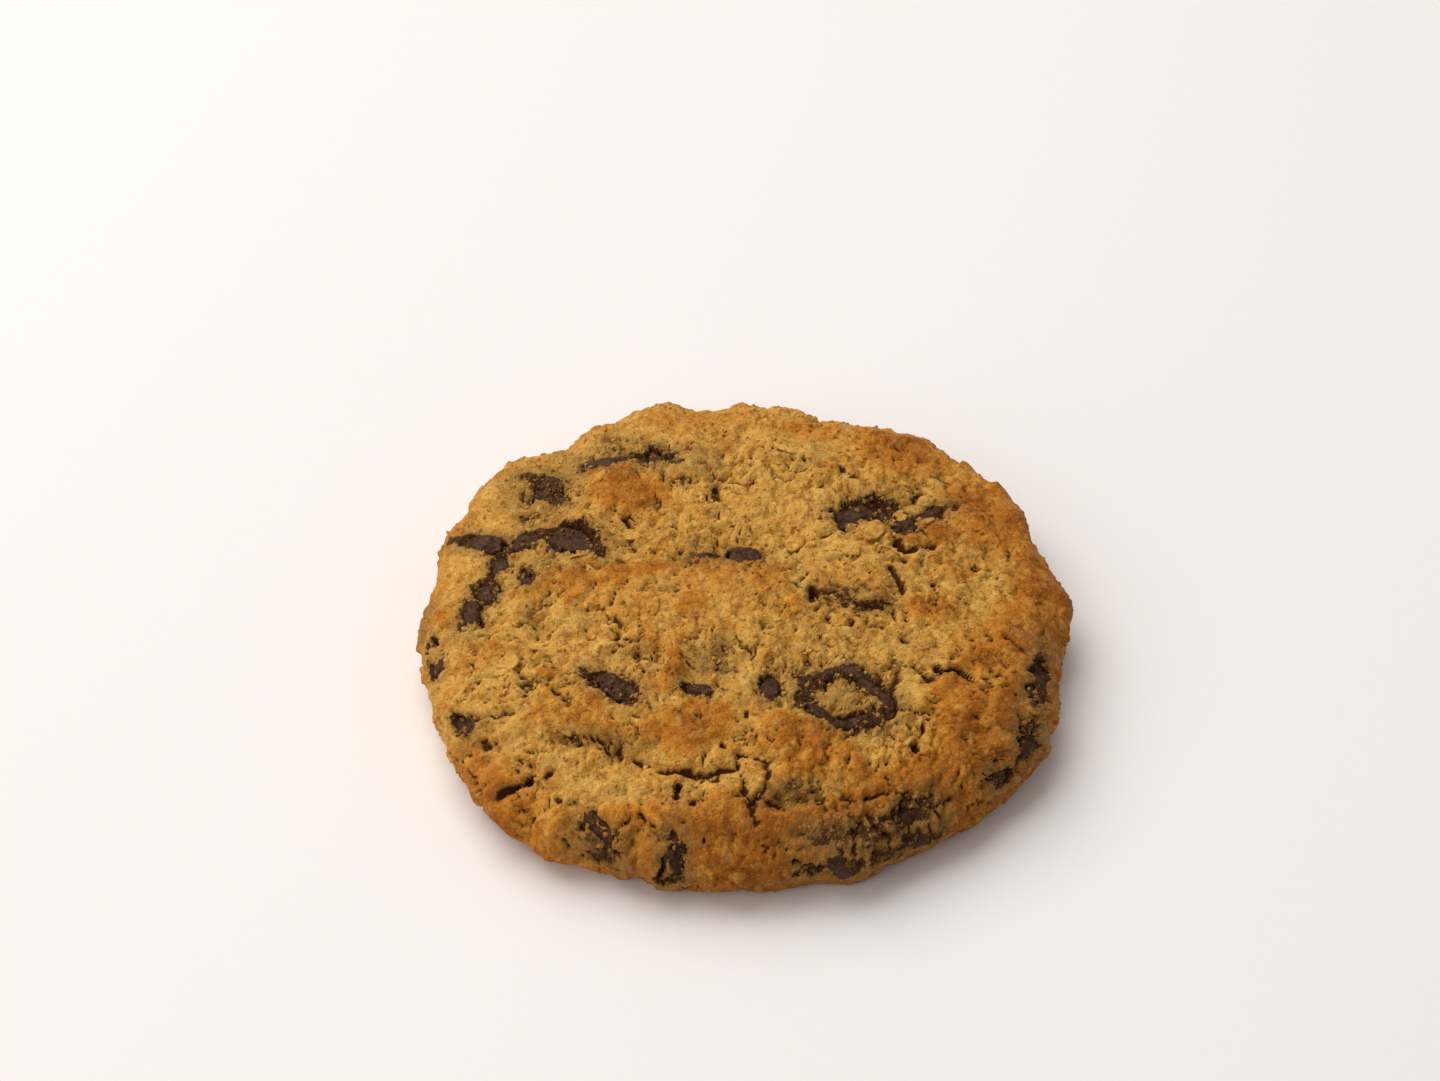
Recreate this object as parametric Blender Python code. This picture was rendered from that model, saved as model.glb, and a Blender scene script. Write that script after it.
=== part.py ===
"""Oatmeal chocolate cookie, lying flat on its underside.

One dough solid carries the uneven rim, the folds, the cracks and the rolled oats that show, and each
lump of chocolate is a solid of its own that sits in a pocket of the dough.

Lengths here are millimetres and angles are degrees; MM turns lengths to Blender's metres when a mesh
is made. +Z is up, -Y is the front, and the origin is under the middle of the cookie, on the table.
A bearing is measured anticlockwise from +X, seen from above.
"""

import math

import bmesh
import bpy
import numpy as np
from mathutils import Matrix, Vector

MM = 0.001

# Driving dimensions.
MEAN_RADIUS = 46.6
TOP_HEIGHT = 16.8
BULGE_HEIGHT = 6.5  # where the side wall stands out furthest
BASE_SHARE = 0.93  # radius of the flat underside, as a share of the outline
DOME_POWER = 3.0  # higher is a flatter top with a tighter shoulder
SHOULDER_POWER = 0.5
CENTRE_SHIFT = (-0.25, 0.15)  # brings the middle of the uneven outline over the origin

# Triangle budget of the faceted solids.
BALL_SUBDIVISIONS = 7
CAP_START = 0.94  # share of the ball's way from pole to pole that the top and wall take
CRUST_TRIANGLES = 4400  # before the oats are joined on and the pockets cut
DOUGH_TRIANGLES = 8600  # with its oats and pockets
FLAKE_COUNT = 60
FLAKE_SIDES = 7
POCKET_GAP = 0.3  # clearance between a lump of chocolate and its pocket

# The outline's slow swell: harmonic, cosine share, sine share.
OUTLINE_WAVES = ((1, -0.6, -0.3), (2, 0.45, -0.05), (3, 0.5, 0.0))

# Lobes and notches round the rim: bearing, rise, spread in degrees.
RIM_LOBES = (
    (4, 0.9, 2.5), (17, -1.2, 7), (32, 0.8, 3.5), (43, -0.8, 3.5), (47, 1.2, 14), (58, 0.5, 7),
    (72, -0.8, 3.5), (79, -1.1, 14), (83, 0.5, 5), (96, -1.0, 3.5), (106, 1.1, 3.5),
    (128, -1.1, 3.5), (137, 0.9, 2.5), (143, 1.4, 10), (170, -1.6, 7), (193, -0.5, 10),
    (211, 0.7, 2.5), (225, 1.2, 10), (236, 0.6, 2.5), (247, -0.4, 5), (265, -0.8, 14),
    (281, -0.5, 3.5), (289, 0.9, 3.5), (313, 0.7, 2.5), (326, 1.2, 10), (351, -1.5, 7),
)

# Mounds and hollows of the top: x, y, half length, half width, turn, rise.
SWELLS = (
    (-8.0, -4.0, 24.0, 6.5, -2, 1.5),
    (2.0, 24.0, 16.0, 9.0, 0, 0.8),
    (-18.0, 18.0, 8.0, 5.5, 10, 1.0),
    (15.0, 3.0, 6.5, 6.0, 0, 1.0),
    (27.0, -6.5, 6.0, 5.5, 20, 0.9),
    (26.5, 9.5, 4.5, 3.0, 15, 0.8),
    (-26.0, -21.0, 12.0, 4.5, -6, 1.2),
    (-9.0, -26.5, 7.5, 4.5, -5, 1.2),
    (8.5, -29.0, 7.0, 4.5, -20, 0.9),
    (-20.0, -36.0, 12.0, 4.0, -30, 0.4),
    (-42.5, -3.5, 3.2, 4.2, 0, 1.4),
    (-35.0, 24.5, 5.0, 6.5, 40, 1.2),
    (-28.0, 3.5, 5.0, 2.6, 0, 0.7),
    (-10.0, -16.5, 4.8, 1.5, 88, 1.9),
    (38.0, -8.0, 4.0, 6.0, 0, 0.6),
    (33.0, -25.0, 7.0, 6.0, 40, 0.8),
    (22.5, 28.5, 7.0, 6.0, -30, 0.8),
    (29.0, -20.0, 3.5, 3.0, 0, 0.8),
    (-4.0, -40.0, 9.0, 3.5, 0, 0.6),
    (-3.0, 5.0, 14.0, 3.2, 2, -1.3),
    (-15.0, -15.0, 6.0, 2.5, 0, -0.8),
    (-4.5, -16.5, 3.8, 4.0, 0, -1.6),
    (-34.0, 9.0, 6.5, 5.0, -10, -1.3),
    (-37.0, -1.0, 2.6, 4.0, 10, -1.0),
    (-18.5, -18.8, 4.5, 3.5, -30, -0.8),
    (13.5, -21.5, 8.5, 7.0, 0, -0.7),
    (18.0, 15.0, 6.0, 4.0, 20, -0.7),
    (-14.0, -32.0, 12.0, 2.2, -20, -0.7),
    (5.0, -38.0, 6.0, 1.6, 12, -0.8),
    (3.0, -20.0, 3.0, 3.0, 0, -0.6),
    (-17.0, 27.5, 7.5, 2.5, -10, -0.6),
)
SWELL_POWER = 1.6  # over 1 gives a flatter top and steeper flanks than a bell curve

# Folds of the dough, high on the left of their line of travel: rise, then the points of the line.
FOLDS = (
    (1.3, ((8.5, -1.0), (5.0, 1.0), (0.0, 1.8), (-8.0, 2.2), (-15.0, 1.2), (-24.0, 0.5), (-31.0, 0.5))),
    (1.0, ((-21.0, -13.8), (-17.0, -14.2), (-14.5, -13.0), (-12.5, -14.5))),
    (1.6, ((-33.0, -26.0), (-26.0, -26.8), (-20.0, -28.0), (-16.5, -29.8), (-14.0, -32.3))),
    (1.3, ((-14.0, -32.3), (-11.0, -33.5), (-6.0, -34.0), (-2.5, -34.6))),
    (1.0, ((0.0, -38.7), (4.0, -38.2), (9.0, -36.4))),
    (1.1, ((12.0, -4.6), (16.0, -5.1), (20.5, -4.4))),
    (0.8, ((14.5, -28.0), (12.0, -26.5), (8.0, -25.0), (5.5, -22.5))),
    (0.9, ((-15.0, 24.2), (-20.0, 25.0), (-24.5, 23.8))),
    (0.8, ((-17.0, 8.0), (-21.5, 11.5), (-24.5, 16.5))),
)
FOLD_REACH = 4.5  # how far behind its edge a fold stays high
FOLD_FOOT = 1.0  # width of the dip at its foot
FOLD_LIP = 0.5

# The wider cracks and pits: half width, depth, then the points of the line.
CRACKS = (
    (0.7, 2.2, ((13.5, 24.5), (14.5, 22.5), (16.0, 21.5), (18.8, 20.8))),
    (0.6, 1.8, ((24.0, 16.5), (25.0, 18.5), (27.5, 20.0))),
    (0.8, 2.6, ((22.8, 9.5), (21.8, 7.5), (23.0, 6.2), (26.0, 6.8), (27.8, 7.6))),
    (0.9, 2.6, ((20.8, 4.3), (21.3, 2.0), (21.6, 0.5), (22.7, -2.3))),
    (0.9, 2.6, ((26.0, -14.5), (27.0, -17.0), (28.5, -16.0), (30.0, -15.8), (31.3, -18.6))),
    (1.1, 3.0, ((9.0, -2.2), (9.4, -4.0), (8.8, -5.6))),
    (0.9, 2.4, ((12.5, -4.9), (16.0, -5.4), (20.0, -4.8))),
    (0.8, 2.4, ((-4.8, 20.0), (-4.5, 18.0), (-3.8, 16.2))),
    (0.8, 2.6, ((-29.5, -32.3), (-30.2, -33.9), (-33.0, -34.3), (-35.6, -33.9))),
    (1.0, 2.6, ((-17.8, 12.6), (-16.6, 10.6))),
    (1.0, 2.8, ((22.6, -28.2), (23.9, -29.4))),
    (0.8, 2.4, ((-9.3, -35.2), (-9.8, -38.2))),
    (0.7, 2.0, ((4.8, 1.8), (8.2, 0.8))),
    (0.7, 2.2, ((-10.5, -41.5), (-8.5, -44.0))),
)

# The uneven swelling of the crust: size of the lumps, height.
LUMP_SCALES = ((16.0, 0.7), (7.0, 0.55), (3.6, 0.4))

# Lumps of chocolate on the top: name, x, y, half length, half width, turn.
TOP_CHUNKS = (
    ("chocolate_upper_left_slab", -17.0, 26.8, 6.6, 2.0, -12),
    ("chocolate_left_shoulder", -29.3, 21.6, 3.2, 2.7, 55),
    ("chocolate_left_block", -25.2, 9.3, 4.3, 2.6, -32),
    ("chocolate_left_wedge", -32.2, 11.8, 2.2, 1.6, 10),
    ("chocolate_left_arc", -39.6, 12.4, 3.6, 1.4, -20),
    ("chocolate_left_strip", -36.4, 6.8, 2.9, 1.5, -80),
    ("chocolate_left_hollow", -37.4, 1.0, 2.3, 1.9, -50),
    ("chocolate_left_chip", -31.4, 1.2, 1.7, 1.3, -70),
    ("chocolate_lobe_inner", -39.4, -3.6, 2.4, 1.2, 95),
    ("chocolate_middle_block", -0.3, 3.9, 2.3, 1.9, -15),
    ("chocolate_middle_chip", -5.8, 3.6, 2.3, 1.5, 8),
    ("chocolate_upper_right_block", 17.0, 14.2, 4.6, 2.9, 28),
    ("chocolate_upper_right_wedge", 23.2, 11.8, 1.6, 1.9, 20),
    ("chocolate_upper_right_strip", 27.3, 14.9, 2.7, 1.0, 42),
    ("chocolate_lower_left_block", -18.2, -20.2, 3.7, 2.1, -38),
    ("chocolate_finger_chip", -6.9, -21.4, 1.9, 1.2, -10),
    ("chocolate_centre_chip", 3.3, -21.0, 1.5, 1.9, 10),
)

# Lumps of chocolate in the rim: name, bearing, height, half length, half width, turn from level.
RIM_CHUNKS = (
    ("chocolate_lobe_outer", 182, 9.0, 3.0, 1.4, 5),
    ("chocolate_lobe_lower", 192, 9.6, 3.4, 1.5, -20),
    ("chocolate_right_bar", 340, 11.0, 4.6, 1.9, 8),
    ("chocolate_right_lump", 328, 9.9, 2.7, 2.1, 0),
    ("chocolate_right_chip", 319, 8.2, 1.9, 1.5, 0),
    ("chocolate_front_left_block", 244, 7.8, 3.9, 2.9, -12),
    ("chocolate_front_streak", 257, 7.4, 1.6, 3.0, -20),
    ("chocolate_front_right_block", 290, 8.2, 4.2, 3.1, 8),
    ("chocolate_front_right_lump", 301, 8.6, 3.3, 2.7, 25),
    ("chocolate_front_chip", 280.5, 5.6, 2.0, 1.5, -15),
    ("chocolate_left_rim_chip", 209, 10.3, 2.6, 1.4, 25),
)
CHUNK_DEPTH_SHARE = 0.85  # half depth of a lump, as a share of its half width
LEAST_HALF_DEPTH = 1.3
TOP_PROUD = 0.5  # how far a lump's crown stands out of the dough, on the top
RIM_PROUD = 0.0  # and in the rim, where the crust curves away from the lump's corners
CHUNK_BLOCKINESS = 0.72  # under 1 pushes a round lump towards a cut block
CHUNK_ROUGHNESS = 0.19
LARGE_CHUNK = 3.4  # lumps longer than this get the finer ball

# The melted lump whose middle is covered by dough.
RING_CHUNK = "chocolate_ring"
RING_PLACE = (13.4, -21.6)
RING_RADII = (5.7, 4.5)
RING_TURN = -14
RING_THICKNESS = 1.35
RING_TUBE = 0.28  # half width of the ring's band, as a share of its radius
RING_CORNER = 0.10  # swells the ring's outline towards four corners
RING_SEGMENTS = (24, 8)

# Rolled oats that lie in the crust.
FLAKE_LENGTHS = (4.2, 7.0)
FLAKE_SLIMNESS = (0.66, 0.9)
FLAKE_THICKNESS = 1.5
FLAKE_PROUD = (0.25, 0.6)
FLAKE_TILT = 11
FLAKE_TAPER = 0.82
FLAKE_SEED = 11

DOUGH_COLOUR = (0.42, 0.21, 0.055, 1.0)
CHOCOLATE_COLOUR = (0.045, 0.021, 0.012, 1.0)


# ---------------------------------------------------------------- noise

def lattice_hash(cell, seed):
    """A number from 0 to 1 for each whole-number cell, the same on every run."""
    ix, iy, iz = (cell[..., k].astype(np.int64).astype(np.uint32) for k in range(3))
    mixed = ix * np.uint32(374761393) + iy * np.uint32(668265263) + iz * np.uint32(2246822519)
    mixed = mixed + np.uint32(seed * 3266489917 % 2**32)
    mixed = (mixed ^ (mixed >> np.uint32(15))) * np.uint32(2654435761)
    mixed = (mixed ^ (mixed >> np.uint32(13))) * np.uint32(1274126177)
    return (mixed ^ (mixed >> np.uint32(16))).astype(np.float64) / 2**32


def smooth_noise(points, scale, seed):
    """Noise from -1 to 1 whose bumps are about scale across: hashed corners, blended smoothly."""
    spot = points / scale
    base = np.floor(spot)
    part = spot - base
    blend = part * part * part * (part * (part * 6 - 15) + 10)
    total = np.zeros(len(points))
    for corner in np.ndindex(2, 2, 2):
        offset = np.array(corner, float)
        weight = np.prod(np.where(offset == 1, blend, 1 - blend), axis=1)
        total += weight * lattice_hash(base + offset, seed)
    return total * 2 - 1


# ---------------------------------------------------------------- the cookie's smooth form

def outline_radius(bearing, share):
    """Radius of the outline at a bearing, in radians; lobes and notches fade towards the middle."""
    radius = np.full_like(bearing, MEAN_RADIUS)
    for harmonic, cosine, sine in OUTLINE_WAVES:
        radius = radius + cosine * np.cos(harmonic * bearing) + sine * np.sin(harmonic * bearing)
    lobes = np.zeros_like(bearing)
    for centre, rise, spread in RIM_LOBES:
        away = (np.degrees(bearing) - centre + 180) % 360 - 180
        lobes += rise * np.exp(-(away / spread) ** 2)
    fade = np.clip((share - 0.35) / 0.6, 0, 1)
    return radius + lobes * fade * fade * (3 - 2 * fade)


def section_path():
    """The section from the middle of the top to the foot of the wall: travelled share, radius, height."""
    angle = np.linspace(0, math.pi / 2, 500)
    top_share = np.sin(angle)
    top_height = BULGE_HEIGHT + (TOP_HEIGHT - BULGE_HEIGHT) * (
        np.maximum(0, 1 - top_share**DOME_POWER) ** SHOULDER_POWER
    )
    foot = np.linspace(0, math.pi / 2, 60)[1:]
    share = np.concatenate([top_share, BASE_SHARE + (1 - BASE_SHARE) * np.cos(foot)])
    height = np.concatenate([top_height, BULGE_HEIGHT * (1 - np.sin(foot))])
    steps = np.hypot(np.diff(share) * MEAN_RADIUS, np.diff(height))
    travelled = np.concatenate([[0], np.cumsum(steps)])
    return travelled / travelled[-1], share, height


PATH_TRAVEL, PATH_SHARE, PATH_HEIGHT = section_path()


def form_points(bearing, travel):
    """Points of the smooth form, at a bearing in radians and a share of the way from middle to foot."""
    share = np.interp(travel, PATH_TRAVEL, PATH_SHARE)
    height = np.interp(travel, PATH_TRAVEL, PATH_HEIGHT)
    radius = share * outline_radius(bearing, share)
    return np.stack([radius * np.cos(bearing), radius * np.sin(bearing), height], axis=-1)


def form_normals(bearing, travel):
    """Outward normals of the smooth form, from the steps to its neighbours."""
    small = 0.004
    travel = np.clip(travel, 0.02, 1 - small)
    across = form_points(bearing, travel + small) - form_points(bearing, travel - small)
    around = form_points(bearing + small, travel) - form_points(bearing - small, travel)
    normal = np.cross(across, around)
    return normal / np.linalg.norm(normal, axis=-1, keepdims=True)


def place_on_top(x, y):
    """Bearing and travel of the point of the top above x, y."""
    bearing = math.atan2(y, x)
    crown = np.linspace(0, PATH_TRAVEL[np.argmax(PATH_SHARE)], 400)
    points = form_points(np.full_like(crown, bearing), crown)
    travel = np.interp(math.hypot(x, y), np.hypot(points[:, 0], points[:, 1]), crown)
    return bearing, float(travel)


def place_on_rim(bearing, height):
    """Bearing and travel of the point of the shoulder or wall at a bearing and a height."""
    travel = np.interp(-height, -PATH_HEIGHT, PATH_TRAVEL)
    return math.radians(bearing), float(travel)


def frame_at(place, turn):
    """Origin, long axis, short axis and normal of a feature that lies on the form, turned in plan."""
    bearing, travel = np.array([place[0]]), np.array([place[1]])
    origin = form_points(bearing, travel)[0]
    normal = form_normals(bearing, travel)[0]
    angle = math.radians(turn)
    along = np.array([math.cos(angle), math.sin(angle), 0.0])
    along -= normal * (along @ normal)
    along /= np.linalg.norm(along)
    return origin, along, np.cross(normal, along), normal


# ---------------------------------------------------------------- relief

def swell(points, place, half_length, half_width, turn, rise):
    """A mound or hollow: a flat-topped bell over an ellipse on the form."""
    origin, along, aside, _ = frame_at(place, turn)
    away = points - origin
    reach = (away @ along / half_length) ** 2 + (away @ aside / half_width) ** 2
    return rise * np.exp(-(reach**SWELL_POWER))


def line_distance(points, normals, line):
    """Distance from a line of points on the form, which side of it a point is on, and fade at its ends."""
    corners = [frame_at(place_on_top(x, y), 0)[0] for x, y in line]
    lengths = [float(np.linalg.norm(b - a)) for a, b in zip(corners, corners[1:])]
    nearest = np.full(len(points), np.inf)
    side = np.ones(len(points))
    travelled = np.zeros(len(points))
    start = 0.0
    for a, b, length in zip(corners, corners[1:], lengths):
        along = (b - a) / length
        away = points - a
        run = np.clip(away @ along, 0, length)
        gap = np.linalg.norm(away - run[:, None] * along, axis=1)
        closer = gap < nearest
        nearest = np.where(closer, gap, nearest)
        turn_sign = np.sign(np.einsum("ij,ij->i", np.cross(along, away), normals))
        side = np.where(closer, turn_sign, side)
        travelled = np.where(closer, start + run, travelled)
        start += length
    share = travelled / start
    ends = np.clip(np.minimum(share, 1 - share) * 5, 0, 1)
    return nearest, side, ends * ends * (3 - 2 * ends)


def fold(points, normals, rise, line):
    """A fold: high behind its edge and sinking away from it, with a steep front and a dip at its foot."""
    gap, side, ends = line_distance(points, normals, line)
    signed = gap * side
    lip = 1 / (1 + np.exp(-signed / (FOLD_LIP / 2)))
    behind = np.exp(-np.maximum(signed, 0) / FOLD_REACH)
    foot = np.exp(-((signed + FOLD_FOOT) / FOLD_FOOT) ** 2)
    return rise * ends * (lip * behind - 0.45 * foot)


def crack(points, normals, half_width, depth, line):
    """A crack: a valley with a rounded floor along a line, dying out at its ends."""
    gap, _, ends = line_distance(points, normals, line)
    return -depth * np.exp(-((gap / half_width) ** 2)) * (0.35 + 0.65 * ends)


def relief(points, normals):
    """How far the crust stands out of the smooth form at each point."""
    height = np.zeros(len(points))
    for x, y, half_length, half_width, turn, rise in SWELLS:
        height += swell(points, place_on_top(x, y), half_length, half_width, turn, rise)
    for rise, line in FOLDS:
        height += fold(points, normals, rise, line)
    for number, (scale, rise) in enumerate(LUMP_SCALES):
        height += rise * smooth_noise(points, scale, number + 1)
    for half_width, depth, line in CRACKS:
        height += crack(points, normals, half_width, depth, line)
    return height


def crust_points(bearing, travel):
    """Points of the crust: the smooth form with its relief, which dies out at the foot of the wall."""
    points = form_points(bearing, travel)
    normals = form_normals(bearing, travel)
    foot = np.clip((1 - travel) / 0.12, 0, 1)
    return points + normals * (relief(points, normals) * foot)[:, None]


def crust_frame(place, turn, proud):
    """As frame_at, with the origin this far out of the crust."""
    _, along, aside, normal = frame_at(place, turn)
    crust = crust_points(np.array([place[0]]), np.array([place[1]]))[0]
    return crust + normal * proud, along, aside, normal


# ---------------------------------------------------------------- objects

def make_material(name, colour, roughness):
    """A Principled material of one colour and roughness."""
    material = bpy.data.materials.new(name)
    material.use_nodes = True
    shader = material.node_tree.nodes["Principled BSDF"]
    shader.inputs["Base Color"].default_value = colour
    shader.inputs["Roughness"].default_value = roughness
    shader.inputs["Metallic"].default_value = 0.0
    return material


def make_object(name, mesh, collection, material=None):
    """An object that holds the mesh, in a collection and with a material."""
    made = bpy.data.objects.new(name, mesh)
    collection.objects.link(made)
    if material:
        mesh.materials.append(material)
        mesh.shade_smooth()
    return made


def make_collection(name):
    collection = bpy.data.collections.new(name)
    bpy.context.scene.collection.children.link(collection)
    return collection


def hide_helper(made):
    """Marks a cutter, which shapes the cookie and isn't part of it."""
    made.hide_render = True
    made.display_type = "WIRE"


def read_points(mesh):
    flat = np.empty(len(mesh.vertices) * 3)
    mesh.vertices.foreach_get("co", flat)
    return flat.reshape(-1, 3)


def write_points(mesh, points):
    """Moves a mesh's vertices to these points, given in millimetres about the form's own middle."""
    shifted = points + np.array([*CENTRE_SHIFT, 0.0])
    mesh.vertices.foreach_set("co", (shifted * MM).ravel())
    mesh.update()


def ball_mesh(name, subdivisions):
    """A ball of radius 1 with even triangles."""
    mesh = bpy.data.meshes.new(name)
    ball = bmesh.new()
    bmesh.ops.create_icosphere(ball, subdivisions=subdivisions, radius=1.0)
    ball.to_mesh(mesh)
    ball.free()
    return mesh


def apply_modifiers(made):
    """Replaces the object's mesh by what its modifiers make of it."""
    graph = bpy.context.evaluated_depsgraph_get()
    finished = bpy.data.meshes.new_from_object(made.evaluated_get(graph))
    made.modifiers.clear()
    made.data = finished


def thin_out(made, triangles):
    """Collapses edges, the flattest places first, until about this many triangles are left."""
    made.data.calc_loop_triangles()
    thin = made.modifiers.new("thin", "DECIMATE")
    thin.ratio = triangles / len(made.data.loop_triangles)
    bpy.context.view_layer.update()
    apply_modifiers(made)


def join_or_cut(made, others, operation, solver):
    """A Boolean of the object with every object of a collection, applied, with those objects removed."""
    boolean = made.modifiers.new(operation.lower(), "BOOLEAN")
    boolean.operation = operation
    boolean.solver = solver
    boolean.operand_type = "COLLECTION"
    boolean.collection = others
    bpy.context.view_layer.update()
    apply_modifiers(made)
    for other in list(others.objects):
        bpy.data.objects.remove(other)
    bpy.data.collections.remove(others)


def make_dough(collection, material):
    """The dough without oats or pockets: an even ball wrapped onto the crust, then thinned out.

    A ball's polar angle gives the travel by equal areas, so that its triangles spread evenly over the
    top, and the cap round its lower pole becomes the flat underside.
    """
    mesh = ball_mesh("dough", BALL_SUBDIVISIONS)
    ball = read_points(mesh)
    bearing = np.arctan2(ball[:, 1], ball[:, 0])
    disc = np.sqrt(np.clip((1 - ball[:, 2]) / 2, 0, 1))
    points = crust_points(bearing, np.clip(disc / CAP_START, 0, 1))
    under = disc > CAP_START
    inward = np.clip((1 - disc[under]) / (1 - CAP_START), 0, 1)
    points[under, :2] *= inward[:, None]
    points[:, 2] = np.maximum(points[:, 2], 0)
    points[under, 2] = 0
    write_points(mesh, points)
    dough = make_object("cookie_dough", mesh, collection, material)
    thin_out(dough, CRUST_TRIANGLES)
    return dough


def flake_places(sites):
    """Seeded places for the oats, evenly apart over the top and wall and clear of the chocolate."""
    draw = np.random.default_rng(FLAKE_SEED)
    chosen = []
    while len(chosen) < FLAKE_COUNT:
        place = (draw.uniform(-math.pi, math.pi), math.sqrt(draw.uniform(0.0, 0.86)))
        length = draw.uniform(*FLAKE_LENGTHS)
        spot = frame_at(place, 0)[0]
        clear = all(np.linalg.norm(spot - site) > reach + length / 2 + 0.4 for site, reach in sites)
        apart = all(np.linalg.norm(spot - other[1]) > 5.2 for other in chosen)
        if clear and apart:
            chosen.append((place, spot, length))
    return [(place, length) for place, _, length in chosen], draw


def make_flakes(collection, sites):
    """The rolled oats: tapered discs, sunk into the crust and tipped a little from it."""
    places, draw = flake_places(sites)
    for number, (place, length) in enumerate(places):
        crust, along, aside, normal = crust_frame(place, draw.uniform(0, 180), 0.0)
        tilt = Matrix.Rotation(math.radians(draw.uniform(-FLAKE_TILT, FLAKE_TILT)), 3, Vector(along))
        normal, aside = np.array(tilt @ Vector(normal)), np.array(tilt @ Vector(aside))
        half = length / 2
        width = half * draw.uniform(*FLAKE_SLIMNESS)
        mesh = bpy.data.meshes.new("flake")
        disc = bmesh.new()
        bmesh.ops.create_cone(
            disc, cap_ends=True, segments=FLAKE_SIDES, radius1=1.0, radius2=FLAKE_TAPER, depth=1.0
        )
        disc.to_mesh(mesh)
        disc.free()
        local = read_points(mesh)
        centre = crust + normal * (draw.uniform(*FLAKE_PROUD) - FLAKE_THICKNESS / 2)
        points = centre + (
            local[:, :1] * half * along
            + local[:, 1:2] * width * aside
            + local[:, 2:] * FLAKE_THICKNESS * normal
        )
        write_points(mesh, points)
        make_object(f"flake_{number:02d}", mesh, collection)


def lump_points(mesh, frame, half_length, half_width, seed):
    """A melted block of chocolate: a ball pushed towards a box, roughened, its crown at the frame."""
    origin, along, aside, normal = frame
    ball = read_points(mesh)
    boxy = np.sign(ball) * np.abs(ball) ** CHUNK_BLOCKINESS
    boxy *= 1 + CHUNK_ROUGHNESS * smooth_noise(ball * 10 + seed * 7, 6.0, seed)[:, None]
    half_depth = max(half_width, LEAST_HALF_DEPTH) * CHUNK_DEPTH_SHARE
    centre = origin - normal * half_depth
    return centre + (
        boxy[:, :1] * half_length * along
        + boxy[:, 1:2] * half_width * aside
        + boxy[:, 2:] * half_depth * normal
    )


def chunk_frames():
    """Name, frame at its crown, half length and half width of every solid lump of chocolate.

    A lump's turn is counted in plan on the top, and from level in the rim.
    """
    frames = []
    for name, x, y, half_length, half_width, turn in TOP_CHUNKS:
        frame = crust_frame(place_on_top(x, y), turn, TOP_PROUD)
        frames.append((name, frame, half_length, half_width))
    for name, bearing, height, half_length, half_width, turn in RIM_CHUNKS:
        frame = crust_frame(place_on_rim(bearing, height), bearing + 90 + turn, RIM_PROUD)
        frames.append((name, frame, half_length, half_width))
    return frames


def make_ring(collection, material):
    """The melted lump with dough over its middle: a torus stretched to an uneven four-cornered ring."""
    bpy.ops.mesh.primitive_torus_add(
        major_segments=RING_SEGMENTS[0], minor_segments=RING_SEGMENTS[1],
        major_radius=1.0, minor_radius=RING_TUBE,
    )
    ring = bpy.context.object
    ring.name = RING_CHUNK
    for holder in list(ring.users_collection):
        holder.objects.unlink(ring)
    collection.objects.link(ring)
    ring.data.materials.append(material)
    ring.data.shade_smooth()
    crown, along, aside, normal = crust_frame(place_on_top(*RING_PLACE), RING_TURN, TOP_PROUD)
    local = read_points(ring.data)
    round_angle = np.arctan2(local[:, 1], local[:, 0])
    corner = 1 + RING_CORNER * np.cos(4 * round_angle)
    height = local[:, 2] / RING_TUBE * RING_THICKNESS
    points = crown + (
        (local[:, 0] * corner * RING_RADII[0])[:, None] * along
        + (local[:, 1] * corner * RING_RADII[1])[:, None] * aside
        + (height - RING_THICKNESS)[:, None] * normal
    )
    write_points(ring.data, points)
    return ring


def make_pocket(chunk, cutters):
    """A cutter a little larger than the chunk all round, which leaves its pocket in the dough."""
    mesh = chunk.data.copy()
    normals = np.empty(len(mesh.vertices) * 3)
    mesh.vertices.foreach_get("normal", normals)
    grown = read_points(mesh) + normals.reshape(-1, 3) * POCKET_GAP * MM
    mesh.vertices.foreach_set("co", grown.ravel())
    mesh.materials.clear()
    hide_helper(make_object(f"pocket_{chunk.name}", mesh, cutters))


def build_cookie():
    """Builds the dough, its oats, the lumps of chocolate and their pockets."""
    for old in list(bpy.data.objects):
        bpy.data.objects.remove(old)
    cookie = make_collection("oatmeal_chocolate_cookie")
    oats = make_collection("oats")
    cutters = make_collection("pockets")
    dough_material = make_material("baked_oat_dough", DOUGH_COLOUR, 0.8)
    chocolate_material = make_material("dark_chocolate", CHOCOLATE_COLOUR, 0.45)

    ring = make_ring(cookie, chocolate_material)
    make_pocket(ring, cutters)
    ring_spot = frame_at(place_on_top(*RING_PLACE), 0)[0]
    sites = [(ring_spot, RING_RADII[0] + RING_THICKNESS)]
    for number, (name, frame, half_length, half_width) in enumerate(chunk_frames()):
        mesh = ball_mesh(name, 3 if half_length > LARGE_CHUNK else 2)
        write_points(mesh, lump_points(mesh, frame, half_length, half_width, number + 1))
        chunk = make_object(name, mesh, cookie, chocolate_material)
        make_pocket(chunk, cutters)
        sites.append((frame[0], half_length))

    dough = make_dough(cookie, dough_material)
    make_flakes(oats, sites)
    join_or_cut(dough, oats, "UNION", "MANIFOLD")
    join_or_cut(dough, cutters, "DIFFERENCE", "MANIFOLD")
    thin_out(dough, DOUGH_TRIANGLES)


build_cookie()
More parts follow.
